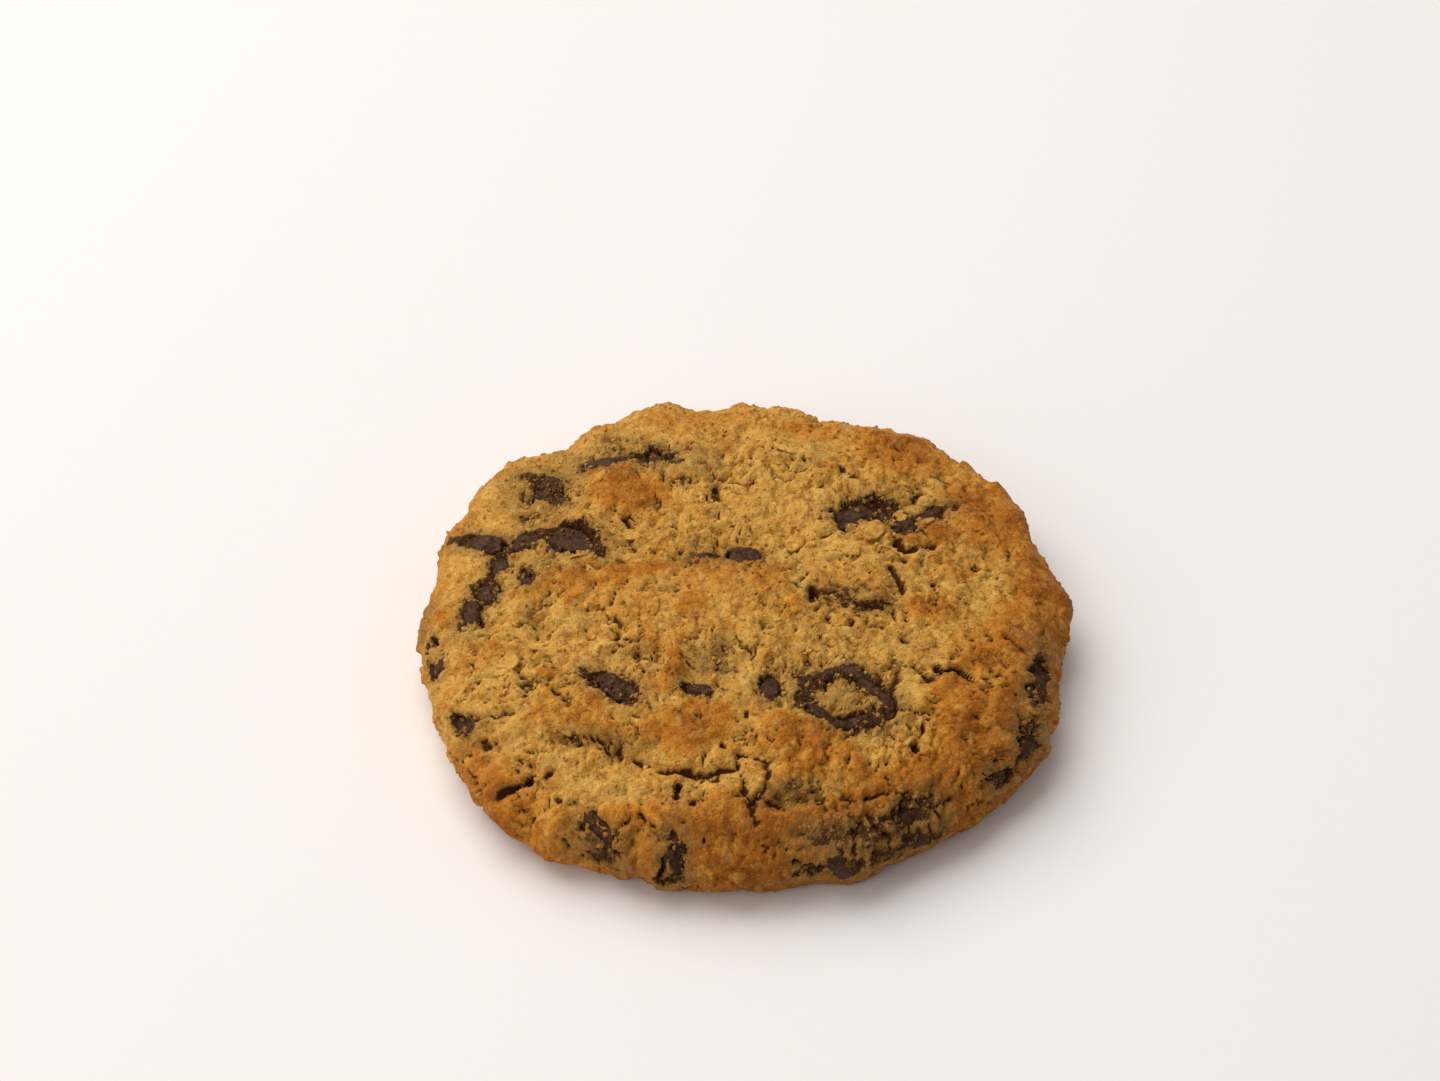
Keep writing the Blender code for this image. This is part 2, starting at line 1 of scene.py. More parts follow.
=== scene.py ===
"""Oatmeal chocolate cookie: crust, rolled oats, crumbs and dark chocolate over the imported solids.

Lengths inside this script are millimetres and angles are degrees, unless a name says otherwise. MM turns
millimetres to metres where a mesh is written. +Z is up and -Y is the front. A bearing is measured
anticlockwise from +X, seen from above. The smooth form of the cookie is a function of two parameters,
the bearing and the travel: the share of the way along the section, from the middle of the top, over the
shoulder and down the wall, to the foot.
"""

import logging
import math
from collections.abc import Callable
from dataclasses import dataclass, field
from enum import Enum, IntEnum
from functools import cached_property

import bpy
import numpy as np
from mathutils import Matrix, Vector


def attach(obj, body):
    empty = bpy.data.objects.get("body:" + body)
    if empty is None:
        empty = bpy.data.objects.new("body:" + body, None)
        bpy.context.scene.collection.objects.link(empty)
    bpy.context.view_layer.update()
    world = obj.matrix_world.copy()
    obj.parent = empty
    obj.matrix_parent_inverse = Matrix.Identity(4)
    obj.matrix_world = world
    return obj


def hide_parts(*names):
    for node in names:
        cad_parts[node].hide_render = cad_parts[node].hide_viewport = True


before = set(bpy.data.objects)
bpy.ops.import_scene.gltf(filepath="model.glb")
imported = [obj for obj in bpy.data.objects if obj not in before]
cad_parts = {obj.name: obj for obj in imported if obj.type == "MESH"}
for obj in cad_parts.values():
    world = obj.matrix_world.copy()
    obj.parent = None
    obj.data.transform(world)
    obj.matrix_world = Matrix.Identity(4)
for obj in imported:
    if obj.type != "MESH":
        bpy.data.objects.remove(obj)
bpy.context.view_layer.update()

MM = 0.001
ROOT = "root"
FLOOR_GAP = 0.02  # least height of anything over the floor, in millimetres
Array = np.ndarray
Pair = tuple[float, float]
Three = tuple[Array, Array, Array]
Colour = tuple[float, float, float]
Socket = bpy.types.NodeSocket
Material = bpy.types.Material
Piece = bpy.types.Object
log = logging.getLogger("cookie")


class Seed(IntEnum):
    """Which pattern of noise each thing takes; those that move points also take the two that follow."""

    DUST = 33
    CRACK_WANDER = 60
    CRACK_WIDTH = 66
    BROWN_EDGE = 71
    PALE_EDGE = 75
    RAGGED = 81
    ISLANDS = 85
    GRAIN_WANDER = 90
    FINE = 95
    CRUMBLY = 97
    UNDERSIDE = 120
    SEAM_WANDER = 140


# ------ noise on points

HASH_FACTORS = (374761393, 668265263, 2246822519)  # large odd numbers, one for each axis
HASH_SEED = 3266489917
HASH_MIXES = ((15, 2654435761), (13, 1274126177))  # bits to shift by, and an odd factor
HASH_LAST_SHIFT = 16
LAYER_SEED_STEP = 31
LAYER_BOOST = 1.4  # brings layered noise back to about -1 to 1
GRAIN_EDGE = 2.2  # how steeply a grain rises from its gap


def lattice_hash(cell: Array, seed: int) -> Array:
    """A number from 0 to 1 for each whole-number cell: its three indices multiplied, mixed and folded.

    Args:
        cell: Whole numbers, (..., 3).
        seed: Picks one of many patterns.

    Returns:
        The numbers, (...).
    """
    mixed = np.uint32(seed * HASH_SEED % 2**32)
    for axis, factor in enumerate(HASH_FACTORS):
        mixed = mixed + cell[..., axis].astype(np.int64).astype(np.uint32) * np.uint32(factor)
    for shift, factor in HASH_MIXES:
        mixed = (mixed ^ (mixed >> np.uint32(shift))) * np.uint32(factor)
    return (mixed ^ (mixed >> np.uint32(HASH_LAST_SHIFT))).astype(np.float64) / 2**32


def smooth_noise(points: Array, scale: float, seed: int) -> Array:
    """Noise from -1 to 1: hashed cell corners, blended by a curve that is level at both ends.

    Args:
        points: Places, (n, 3).
        scale: Rough size of a bump.
        seed: Picks the pattern.

    Returns:
        The noise, (n,).
    """
    spot = points / scale
    base = np.floor(spot)
    part = spot - base
    blend = part * part * part * (part * (part * 6 - 15) + 10)
    total = np.zeros(len(points))
    for corner in np.ndindex(2, 2, 2):
        offset = np.array(corner, float)
        weight = np.prod(np.where(offset == 1, blend, 1 - blend), axis=1)
        total += weight * lattice_hash(base + offset, seed)
    return total * 2 - 1


def layered_noise(points: Array, scale: float, seed: int, layers: int = 3, gain: float = 0.55) -> Array:
    """Smooth noise with finer and weaker layers added, each half the size of the one before.

    Args:
        points: Places, (n, 3).
        scale: Size of the largest bumps.
        seed: Picks the pattern.
        layers: How many sizes are added up.
        gain: Strength of each layer, as a share of the one before.

    Returns:
        The noise, (n,), about -1 to 1.
    """
    total = np.zeros(len(points))
    weight, whole = 1.0, 0.0
    for layer in range(layers):
        total += weight * smooth_noise(points, scale / 2**layer, seed + LAYER_SEED_STEP * layer)
        whole += weight
        weight *= gain
    return total / whole * LAYER_BOOST


def noise_vectors(noise: Callable, points: Array, scale: float, seed: int, *rest: float) -> Array:
    """Three patterns of one kind of noise side by side, (n, 3), which move points about."""
    return np.stack([noise(points, scale, seed + k, *rest) for k in range(3)], axis=1)


def grain_noise(points: Array, scale: float, seed: int) -> tuple[Array, Array]:
    """Rounded grains: the distance to the nearest of one random site a cell, and that grain's number.

    Args:
        points: Places, (n, 3).
        scale: Size of a grain.
        seed: Picks the pattern.

    Returns:
        Roundness, 1 in a grain's middle and 0 in the gap between grains, and a random number from 0 to 1
        that is the same all over one grain.
    """
    spot = points / scale
    base = np.floor(spot)
    nearest = np.full(len(points), 9.0)
    second = np.full(len(points), 9.0)
    owner = np.zeros(len(points))
    for step in np.ndindex(3, 3, 3):
        cell = base + np.array(step, float) - 1
        site = cell + np.stack([lattice_hash(cell, seed + k) for k in range(3)], axis=1)
        gap = np.linalg.norm(site - spot, axis=1)
        closer = gap < nearest
        second = np.where(closer, nearest, np.minimum(second, gap))
        owner = np.where(closer, lattice_hash(cell, seed + 7), owner)
        nearest = np.where(closer, gap, nearest)
    return np.clip((second - nearest) * GRAIN_EDGE, 0, 1), owner


def ease(value: Array, low: float, high: float) -> Array:
    """0 below low, 1 above high, and a smooth climb between them."""
    share = np.clip((value - low) / (high - low), 0, 1)
    return share * share * (3 - 2 * share)


def bell(share: Array) -> Array:
    """1 at zero, falling on both sides as e to minus the square."""
    return np.exp(-(share**2))


def oval(points: Array, x: float, y: float, half_length: float, half_width: float) -> Array:
    """Squared distance in plan from a spot, as a share of an ellipse along the axes."""
    return ((points[:, 0] - x) / half_length) ** 2 + ((points[:, 1] - y) / half_width) ** 2


def boxed_mean(field_values: Array, reach: int, times: int = 2) -> Array:
    """A grid of values, each replaced by the mean of the square of neighbours round it, a few times over.

    Args:
        field_values: The grid, (rows, columns) or (rows, columns, k).
        reach: Neighbours on each side.
        times: How often the mean is taken.

    Returns:
        The smoothed grid, of the same shape.
    """
    result = field_values.astype(float)
    width = 2 * reach + 1
    for _ in range(times):
        for axis in (0, 1):
            pads = [(0, 0)] * result.ndim
            pads[axis] = (reach + 1, reach)
            run = np.cumsum(np.pad(result, pads, mode="edge"), axis=axis)
            length = result.shape[axis]
            upper = np.take(run, range(width, width + length), axis=axis)
            lower = np.take(run, range(0, length), axis=axis)
            result = (upper - lower) / width
    return result


# ------ the smooth form

@dataclass(frozen=True)
class Place:
    """A point of the smooth form: its bearing in radians and its travel."""

    bearing: float
    travel: float


@dataclass(frozen=True)
class LocalFrame:
    """Axes of a feature that lies on the form."""

    origin: Array
    along: Array
    aside: Array
    normal: Array

    def flat(self, points: Array) -> Three:
        """How far each point is along, aside from and above the origin."""
        away = points - self.origin
        return away @ self.along, away @ self.aside, away @ self.normal


@dataclass(frozen=True, eq=False)
class CookieForm:
    """The cookie without its relief: a lobed outline carried round a domed section with a flat foot.

    A wave is a harmonic with its cosine and sine, and a lobe is a bearing, a rise and a spread.
    """

    mean_radius: float = 46.6
    top_height: float = 16.8
    bulge_height: float = 6.5
    base_share: float = 0.93
    dome_power: float = 3.0
    shoulder_power: float = 0.5
    shift: Pair = (-0.25, 0.15)
    lobe_span: Pair = (0.35, 0.95)
    least_travel: float = 0.02
    waves: tuple = ((1, -0.6, -0.3), (2, 0.45, -0.05), (3, 0.5, 0.0))
    lobes: tuple = (
        (4, 0.9, 2.5), (17, -1.2, 7), (32, 0.8, 3.5), (43, -0.8, 3.5), (47, 1.2, 14), (58, 0.5, 7),
        (72, -0.8, 3.5), (79, -1.1, 14), (83, 0.5, 5), (96, -0.7, 3.5), (106, 1.1, 3.5),
        (128, -1.1, 3.5), (137, 0.9, 2.5), (143, 1.4, 10), (170, -1.6, 7), (193, -0.5, 10),
        (211, 0.7, 2.5), (225, 1.2, 10), (236, 0.6, 2.5), (247, -0.4, 5), (251, -0.6, 2), (265, -0.8, 14),
        (281, -0.5, 3.5), (289, 0.9, 3.5), (313, 0.7, 2.5), (326, 1.2, 10), (351, -1.5, 7),
    )

    def outline(self, bearing: Array, share: Array) -> Array:
        """Radius of the outline: the mean, slow cosine waves, and bell-shaped lobes that fade inwards."""
        radius = np.full_like(bearing, self.mean_radius)
        for harmonic, cosine, sine in self.waves:
            radius = radius + cosine * np.cos(harmonic * bearing) + sine * np.sin(harmonic * bearing)
        lobes = np.zeros_like(bearing)
        for centre, rise, spread in self.lobes:
            away = (np.degrees(bearing) - centre + 180) % 360 - 180
            lobes += rise * bell(away / spread)
        return radius + lobes * ease(share, *self.lobe_span)

    @cached_property
    def section(self) -> Three:
        """The section as travel, radius share and height.

        The top's height over the bulge falls as a power of one minus a power of the share; below the
        bulge the wall is a quarter of an ellipse that ends on the flat underside.
        """
        top_share = np.sin(np.linspace(0, math.pi / 2, 500))
        rise = self.top_height - self.bulge_height
        fall = np.maximum(0, 1 - top_share**self.dome_power)
        top = self.bulge_height + rise * fall**self.shoulder_power
        foot = np.linspace(0, math.pi / 2, 60)[1:]
        share = np.concatenate([top_share, self.base_share + (1 - self.base_share) * np.cos(foot)])
        height = np.concatenate([top, self.bulge_height * (1 - np.sin(foot))])
        steps = np.hypot(np.diff(share) * self.mean_radius, np.diff(height))
        travel = np.concatenate([[0], np.cumsum(steps)])
        return travel / travel[-1], share, height

    def points(self, bearing: Array, travel: Array) -> Array:
        """Points at a bearing and a travel: the section's share of the outline, turned to the bearing."""
        path, shares, heights = self.section
        share = np.interp(travel, path, shares)
        radius = share * self.outline(bearing, share)
        height = np.interp(travel, path, heights)
        return np.stack([radius * np.cos(bearing), radius * np.sin(bearing), height], axis=-1)

    def normals(self, bearing: Array, travel: Array) -> Array:
        """Outward normals: the cross product of a short step down the section and one round it."""
        step = 0.004
        travel = np.clip(travel, self.least_travel, 1 - step)
        down = self.points(bearing, travel + step) - self.points(bearing, travel - step)
        around = self.points(bearing + step, travel) - self.points(bearing - step, travel)
        normal = np.cross(down, around)
        return normal / np.linalg.norm(normal, axis=-1, keepdims=True)

    def on_top(self, x: float, y: float) -> Place:
        """The place on the top above x, y."""
        bearing = math.atan2(y, x)
        path, shares, _ = self.section
        crown = np.linspace(0, path[np.argmax(shares)], 400)
        points = self.points(np.full_like(crown, bearing), crown)
        travel = np.interp(math.hypot(x, y), np.hypot(points[:, 0], points[:, 1]), crown)
        return Place(bearing, float(travel))

    def on_rim(self, bearing: float, height: float) -> Place:
        """The place in the shoulder or the wall at a bearing and a height."""
        path, _, heights = self.section
        return Place(math.radians(bearing), float(np.interp(-height, -heights, path)))

    def frame(self, place: Place, turn: float) -> LocalFrame:
        """Axes of a feature at a place, its long axis turned in plan and laid on the form."""
        bearing, travel = np.array([place.bearing]), np.array([place.travel])
        origin = self.points(bearing, travel)[0]
        normal = self.normals(bearing, travel)[0]
        angle = math.radians(turn)
        along = np.array([math.cos(angle), math.sin(angle), 0.0])
        along -= normal * (along @ normal)
        along /= np.linalg.norm(along)
        return LocalFrame(origin, along, np.cross(normal, along), normal)


# ------ what lies on the form

class Zone(Enum):
    """Where a lump of chocolate shows."""

    TOP = "top"
    RIM = "rim"


class LumpShape(Enum):
    """Outline of a lump of chocolate."""

    BLOCK = "block"
    RING = "ring"


@dataclass(frozen=True)
class Lump:
    """A lump of chocolate: its place, its half sizes, its turn, and how far crumb and cocoa cover it.

    On the top, first and second are x and y, and in the rim they are bearing and height. The smear is how
    far the dough round it is stained, and the lift is how far the lump stands higher than most.
    """

    zone: Zone
    name: str
    first: float
    second: float
    half_length: float
    half_width: float
    turn: float
    cover: float
    smear: float
    lift: float = 0.0
    shape: LumpShape = LumpShape.BLOCK

    @property
    def node(self) -> str:
        """The node of the lump's solid."""
        return f"chocolate_{self.name}"

    def frame(self, form: CookieForm) -> LocalFrame:
        """The lump's axes on the smooth form. In the rim the turn is counted from level."""
        if self.zone is Zone.TOP:
            return form.frame(form.on_top(self.first, self.second), self.turn)
        return form.frame(form.on_rim(self.first, self.second), self.first + 90 + self.turn)

    def nearness(self, local: LocalFrame, points: Array) -> Array:
        """Distance from the lump's middle as a share of its outline: 1 is the outline.

        A block is a rounded rectangle, a root of the sum of like powers. A ring is how far the stretched
        radius, swollen towards four corners, is from 1, over the half width of its band, which is widest
        on one side.
        """
        across, aside, above = local.flat(points)
        far = np.abs(above) > LUMP_REACH
        if self.shape is LumpShape.RING:
            angle = np.arctan2(aside / self.half_width, across / self.half_length)
            corner = 1 + RING_CORNER * np.cos(4 * angle)
            radius = np.hypot(across / self.half_length, aside / self.half_width) / corner
            band = RING_BAND * (1 + RING_UNEVEN * np.cos(angle + RING_THICK_SIDE))
            share = np.abs(radius - 1) / band
        else:
            half = BLOCK_POWER / 2
            share = ((across / self.half_length) ** 2) ** half + ((aside / self.half_width) ** 2) ** half
            share = share ** (1 / BLOCK_POWER)
        return np.where(far, FAR_AWAY, share)


LUMP_REACH = 6.0  # a lump opens no crust further than this above or below its middle
BLOCK_POWER = 2.7
FAR_AWAY = 9.0
RING_TUBE = 0.28
RING_CORNER = 0.10
RING_BAND = 0.17
RING_UNEVEN = 0.45
RING_THICK_SIDE = 0.8  # radians from the ring's long axis
RING_THICKNESS = 1.35

# The lumps in the top and in the rim, as the fields of Lump after its zone.
TOP_LUMPS = (
    ("upper_left_slab", -17, 26.8, 6.6, 2, -12, 0.75, 3),
    ("left_shoulder", -29.3, 21.6, 3.2, 2.7, 55, 0.5, 4),
    ("left_block", -25.2, 9.3, 4.3, 2.6, -32, 0.05, 2),
    ("left_wedge", -32.2, 11.8, 2.2, 1.6, 10, 0.2, 2.5),
    ("left_arc", -39.6, 12.4, 3.6, 1.4, -20, 0.5, 2),
    ("left_strip", -36.4, 6.8, 2.9, 1.5, -80, 0.3, 1.6),
    ("left_hollow", -37.4, 1, 2.3, 1.9, -50, 0.4, 1.8),
    ("left_chip", -31.4, 1.2, 1.7, 1.3, -70, 0.4, 1.5),
    ("lobe_inner", -39.4, -3.6, 2.4, 1.2, 95, 0.3, 1.5),
    ("middle_block", -0.3, 3.9, 2.3, 1.9, -15, 0.15, 3, 0.9),
    ("middle_chip", -5.8, 3.6, 2.3, 1.5, 8, 0.55, 3, 0.6),
    ("upper_right_block", 17, 14.2, 4.6, 2.9, 28, 0.4, 2.2),
    ("upper_right_wedge", 23.2, 11.8, 1.6, 1.9, 20, 0.1, 1.5),
    ("upper_right_strip", 27.3, 14.9, 2.7, 1, 42, 0.2, 1.5),
    ("lower_left_block", -18.2, -20.2, 3.7, 2.1, -38, 0.18, 2),
    ("finger_chip", -6.9, -21.4, 1.9, 1.2, -10, 0, 1),
    ("centre_chip", 3.3, -21, 1.5, 1.9, 10, 0.2, 1.2),
)
RIM_LUMPS = (
    ("lobe_outer", 182, 9, 3, 1.4, 5, 0.9, 1.2),
    ("lobe_lower", 192, 9.6, 3.4, 1.5, -20, 0.55, 1.2),
    ("right_bar", 340, 11, 4.6, 1.9, 8, 0.5, 2),
    ("right_lump", 328, 9.9, 2.7, 2.1, 0, 0.65, 2),
    ("right_chip", 319, 8.2, 1.9, 1.5, 0, 0.5, 2),
    ("front_left_block", 244, 7.8, 3.9, 2.9, -12, 0.8, 2, -0.35),
    ("front_streak", 257, 7.4, 1.6, 3, -20, 0.45, 1.5),
    ("front_right_block", 290, 8.2, 4.2, 3.1, 8, 1, 3.5, -0.55),
    ("front_right_lump", 301, 8.6, 3.3, 2.7, 25, 0.9, 3, -0.3),
    ("front_chip", 280.5, 5.6, 2, 1.5, -15, 0.4, 2),
    ("left_rim_chip", 209, 10.3, 2.6, 1.4, 25, 0.4, 2),
)
LUMPS = (
    *(Lump(Zone.TOP, *row) for row in TOP_LUMPS),
    *(Lump(Zone.RIM, *row) for row in RIM_LUMPS),
    Lump(Zone.TOP, "ring", 13.3, -21.3, 5.6, 4.3, -14, 0.42, 1.6, shape=LumpShape.RING),
)

# Mounds and hollows of the top: x, y, half length, half width, turn, rise.
SWELLS = (
    (-8, -4, 24, 6.5, -2, 1.7), (2, 24, 16, 9, 0, 0.8), (-18, 18, 8, 5.5, 10, 1), (15, 3, 6.5, 6, 0, 1),
    (27, -6.5, 6, 5.5, 20, 0.9), (26.5, 9.5, 4.5, 3, 15, 0.8), (-26, -21, 12, 4.5, -6, 1.2),
    (-9, -26.5, 7.5, 4.5, -5, 1.2), (8.5, -29, 7, 4.5, -20, 0.9), (-20, -36, 12, 4, -30, 0.4),
    (-42.5, -3.5, 3.2, 4.2, 0, 1.4), (-35, 24.5, 5, 6.5, 40, 1.2), (-28, 3.5, 5, 2.6, 0, 0.7),
    (-10, -16.5, 4.8, 1.5, 88, 2.3), (38, -8, 4, 6, 0, 0.6), (33, -25, 7, 6, 40, 0.8),
    (22.5, 28.5, 7, 6, -30, 0.8), (29, -20, 3.5, 3, 0, 0.8), (-4, -40, 9, 3.5, 0, 0.6),
    (-3, 5.6, 14, 3.4, 2, -1.1), (-15, -15, 6, 2.5, 0, -0.8), (-4, -16.5, 4, 4, 0, -1.7),
    (-34, 9, 6.5, 5, -10, -1.3), (-37, -1, 2.6, 4, 10, -1), (-18.5, -18.8, 4.5, 3.5, -30, -0.8),
    (13.5, -21.5, 8.5, 7, 0, -0.7), (18, 15, 6, 4, 20, -0.7), (-14, -32, 12, 2.2, -20, -0.7),
    (5, -38, 6, 1.6, 12, -0.8), (3, -20, 3, 3, 0, -0.6), (-17, 27.5, 7.5, 2.5, -10, -0.6),
)
SWELL_POWER = 1.6

# Folds, high on the left of their line of travel: rise, then the points of the line.
FOLDS = (
    (1.7, ((8.5, -1), (5, 0.8), (0, 1.8), (-8, 2.2), (-15, 1.2), (-24, 0.5), (-31, 0.5))),
    (1, ((-21, -13.8), (-17, -14.2), (-14.5, -13), (-12.5, -14.5))),
    (1.4, ((-33, -26), (-26, -26.8), (-20, -28), (-16.5, -29.8), (-14, -32.3))),
    (1, ((-14, -32.3), (-11, -33.5), (-6, -34), (-2.5, -34.6))),
    (1, ((0, -38.7), (4, -38.2), (9, -36.4))),
    (1.1, ((12, -4.6), (16, -5.1), (20.5, -4.4))),
    (0.8, ((14.5, -28), (12, -26.5), (8, -25), (5.5, -22.5))),
    (0.9, ((-15, 24.2), (-20, 25), (-24.5, 23.8))),
    (0.8, ((-17, 8), (-21.5, 11.5), (-24.5, 16.5))),
)
FOLD_REACH = 4.5
FOLD_FOOT = 1.0
FOLD_LIP = 0.8
FOLD_DIP = 0.45
DARKER_SIDE = -55.0  # bearing of the side whose wall is coloured darkest
CRACK_WIDTH = 0.62  # share of a crack's half width that its valley takes
CRACK_DEPTH = 0.9

# Cracks and pits of the top: half width, depth, then the points of the line.
CRACKS = (
    (0.7, 2.2, ((13.5, 24.5), (14.5, 22.5), (16, 21.5), (18.8, 20.8))),
    (0.6, 1.8, ((24, 16.5), (25, 18.5), (27.5, 20))),
    (0.8, 2.6, ((22.8, 9.5), (21.8, 7.5), (23, 6.2), (26, 6.8), (27.8, 7.6))),
    (0.9, 2.6, ((20.8, 4.3), (21.3, 2), (21.6, 0.5), (22.7, -2.3))),
    (0.9, 2.6, ((26, -14.5), (27, -17), (28.5, -16), (30, -15.8), (31.3, -18.6))),
    (1.1, 3, ((9, -2.2), (9.4, -4), (8.8, -5.6))), (0.5, 1.2, ((12.5, -4.9), (16, -5.4), (20, -4.8))),
    (0.8, 2.4, ((-4.8, 20), (-4.5, 18), (-3.8, 16.2))),
    (0.8, 2.8, ((-28.8, -32.4), (-30.2, -33.4), (-32.3, -33.8), (-35.6, -33.5))),
    (0.5, 1.3, ((-27, -27), (-21.3, -28.3), (-18.2, -29.2), (-15.2, -31.3), (-12, -33.4))),
    (0.5, 2, ((-13, -33.3), (-8.8, -33.8), (-5.2, -34.3), (-0.6, -34.4))),
    (1, 2.6, ((-17.8, 12.6), (-16.6, 10.6))), (1, 2.8, ((22.6, -28.2), (23.9, -29.4))),
    (0.8, 2.4, ((-9.3, -35.2), (-9.8, -38.2))), (0.7, 2, ((4.8, 1.8), (8.2, 0.8))),
    (0.7, 2.2, ((-10.5, -41.5), (-8.5, -44))), (0.4, 1.3, ((10, 8), (11.5, 9.5), (13.5, 10.5))),
    (0.5, 1.6, ((22.5, 15.5), (22.8, 13), (22.4, 10))), (0.4, 1.4, ((19, 8.5), (19.3, 6))),
    (0.4, 1.4, ((20.5, -4.5), (21, -8))), (0.5, 1.5, ((21.5, -10.5), (22.7, -12.2))),
    (0.5, 1.6, ((0, -24.5), (0, -26.2))), (0.5, 1.3, ((29.5, 30), (29, 27))),
    (0.4, 1.2, ((14, 30), (14, 27.5))), (0.5, 1.6, ((8.6, 26.3), (8.6, 25))),
    (0.7, 1.8, ((21.4, 21.3), (22.6, 20.8))), (0.6, 1.8, ((15.2, -7.8), (14.8, -9.2))),
    (0.6, 1.8, ((-26.5, -36.3), (-25.5, -36.8))), (0.5, 1.4, ((-5.6, 28.6), (-4.4, 28.2))),
    (0.5, 1.4, ((30.2, 22.8), (29.8, 21.2))), (0.5, 1.4, ((14.2, -31.5), (13.2, -33.6))),
    (0.5, 1.5, ((-3.5, -31), (-2.4, -31.4))), (0.4, 1.3, ((18.6, -32.4), (19.4, -31.8))),
    (0.6, 1.6, ((32.2, 4.7), (34, 4.6))), (0.5, 1.4, ((37.6, 9.8), (38.4, 6))),
    (0.5, 1.4, ((16.8, 1.2), (18.8, 2.2))), (0.5, 1.4, ((24.2, -25), (24.3, -26.8))),
    (0.5, 1.5, ((-14.5, -39), (-13.7, -40.6))),
)

# Smooth, well browned skin: x, y, half length, half width, strength.
BROWNED = (
    (-22, -1.5, 9.5, 3.2, 0.58), (-9, -1, 9, 3, 0.42), (4, -8, 8, 6, 0.25), (-17, 18, 6, 5, 0.85),
    (-22, 23, 4, 2.5, 0.6), (23, 30, 8, 8, 0.95), (35, 17, 6, 10, 1), (38, -8, 4.5, 6.5, 1),
    (25, -5, 5, 3.5, 0.6), (30, 4, 5, 3.5, 0.45), (29, -19, 4, 3.5, 0.8), (33, -25, 8, 7, 0.95),
    (28, 9.5, 4.5, 3, 0.7), (-8, -27, 6.5, 4.5, 0.85), (-12, -20, 2.5, 5, 0.55), (-24, -23, 8, 2.5, 0.55),
    (8, -29, 8, 4, 0.85), (-38, -12, 4, 3, 0.6), (-42, 17, 2.5, 4, 0.4), (11, 35, 8, 4, 0.55),
    (-8, 38, 10, 5, 0.55), (42.5, 4.5, 4.5, 8, 1), (33, -13, 4.5, 4.5, 0.7), (8, -32, 7, 4, 0.6),
    (14, 11.5, 4, 2, 0.35), (-16, -41, 7, 2, 0.7), (14, -1, 4, 2.5, 0.3), (-32, -13, 3, 2, 0.35),
    (18, -35, 7, 3, 0.6), (0, -41, 9, 4, 0.85),
)

# Pale crumb that hardly browned: x, y, half length, half width, strength.
PALE = (
    (6, 6, 5, 3.5, 0.8), (2, 16, 6, 5, 0.7), (-5, -8, 5, 3, 0.6), (11, 1.5, 4, 3.5, 0.6),
    (-44, -13, 4.5, 10, 0.8), (-36, -16, 4, 4, 0.5), (-42, 9, 4, 5, 0.5), (-38, 22, 5, 5, 0.3),
    (-24, -24, 8, 3, 0.55), (-21, -36.5, 9, 4.5, 0.8), (15, 22, 5, 4, 0.4), (29, 4, 4.5, 4, 0.5),
    (17, -29, 4, 2.2, 0.5), (-42, -20, 4, 6, 0.9), (12, 8, 7, 7, 0.8), (22, -30, 3, 3, 0.5),
)

# Dough stained by melted chocolate, and three rows of painted shade along fold creases at (6, -37), (-16,
# -13.5) and (-19, -29): x, y, half length, half width, turn, strength.
STAINS_AND_CREASE_SHADES = (
    (-1, 5, 11, 2.5, 0, 0.4), (15, -2.8, 5.5, 1.8, 0, 0.75), (-29, 5, 7, 4, -10, 0.6),
    (-29, 15, 6, 4, 20, 0.55), (-4, -16.3, 3.8, 4, 0, 0.7), (13.5, -21.5, 6.5, 5, -14, 0.6),
    (6, 3, 4, 3, 0, 0.2), (21, 1, 3, 5, 0, 0.3), (17, -12, 5, 2.5, 0, 0.4), (-25, -8.5, 5, 2, 0, 0.3),
    (-30, -7, 4, 2.5, -40, 0.4), (-33, -28, 4, 3, 30, 0.35), (-19, 32, 7, 3.5, -10, 0.45),
    # Painted shade: the rows at (6, -37), (-16, -13.5) and (-19, -29) lie along fold creases.
    (11, 25, 3.5, 4.5, 0, 0.4), (6, -37, 7, 2.2, 12, 0.8), (-9.5, -38, 2.2, 4, 0, 0.55),
    (17.5, 17.5, 5, 2.5, 20, 0.4), (-16, -13.5, 4, 1.2, 0, 0.35), (-36, 27, 5, 5, 40, 0.35),
    (38.5, 5.5, 2.5, 3, 0, 0.35), (-19, -29, 8, 2, -15, 0.45), (22, -11, 3.5, 2.5, 0, 0.3),
    (4, -22, 4, 3, 0, 0.35),
)


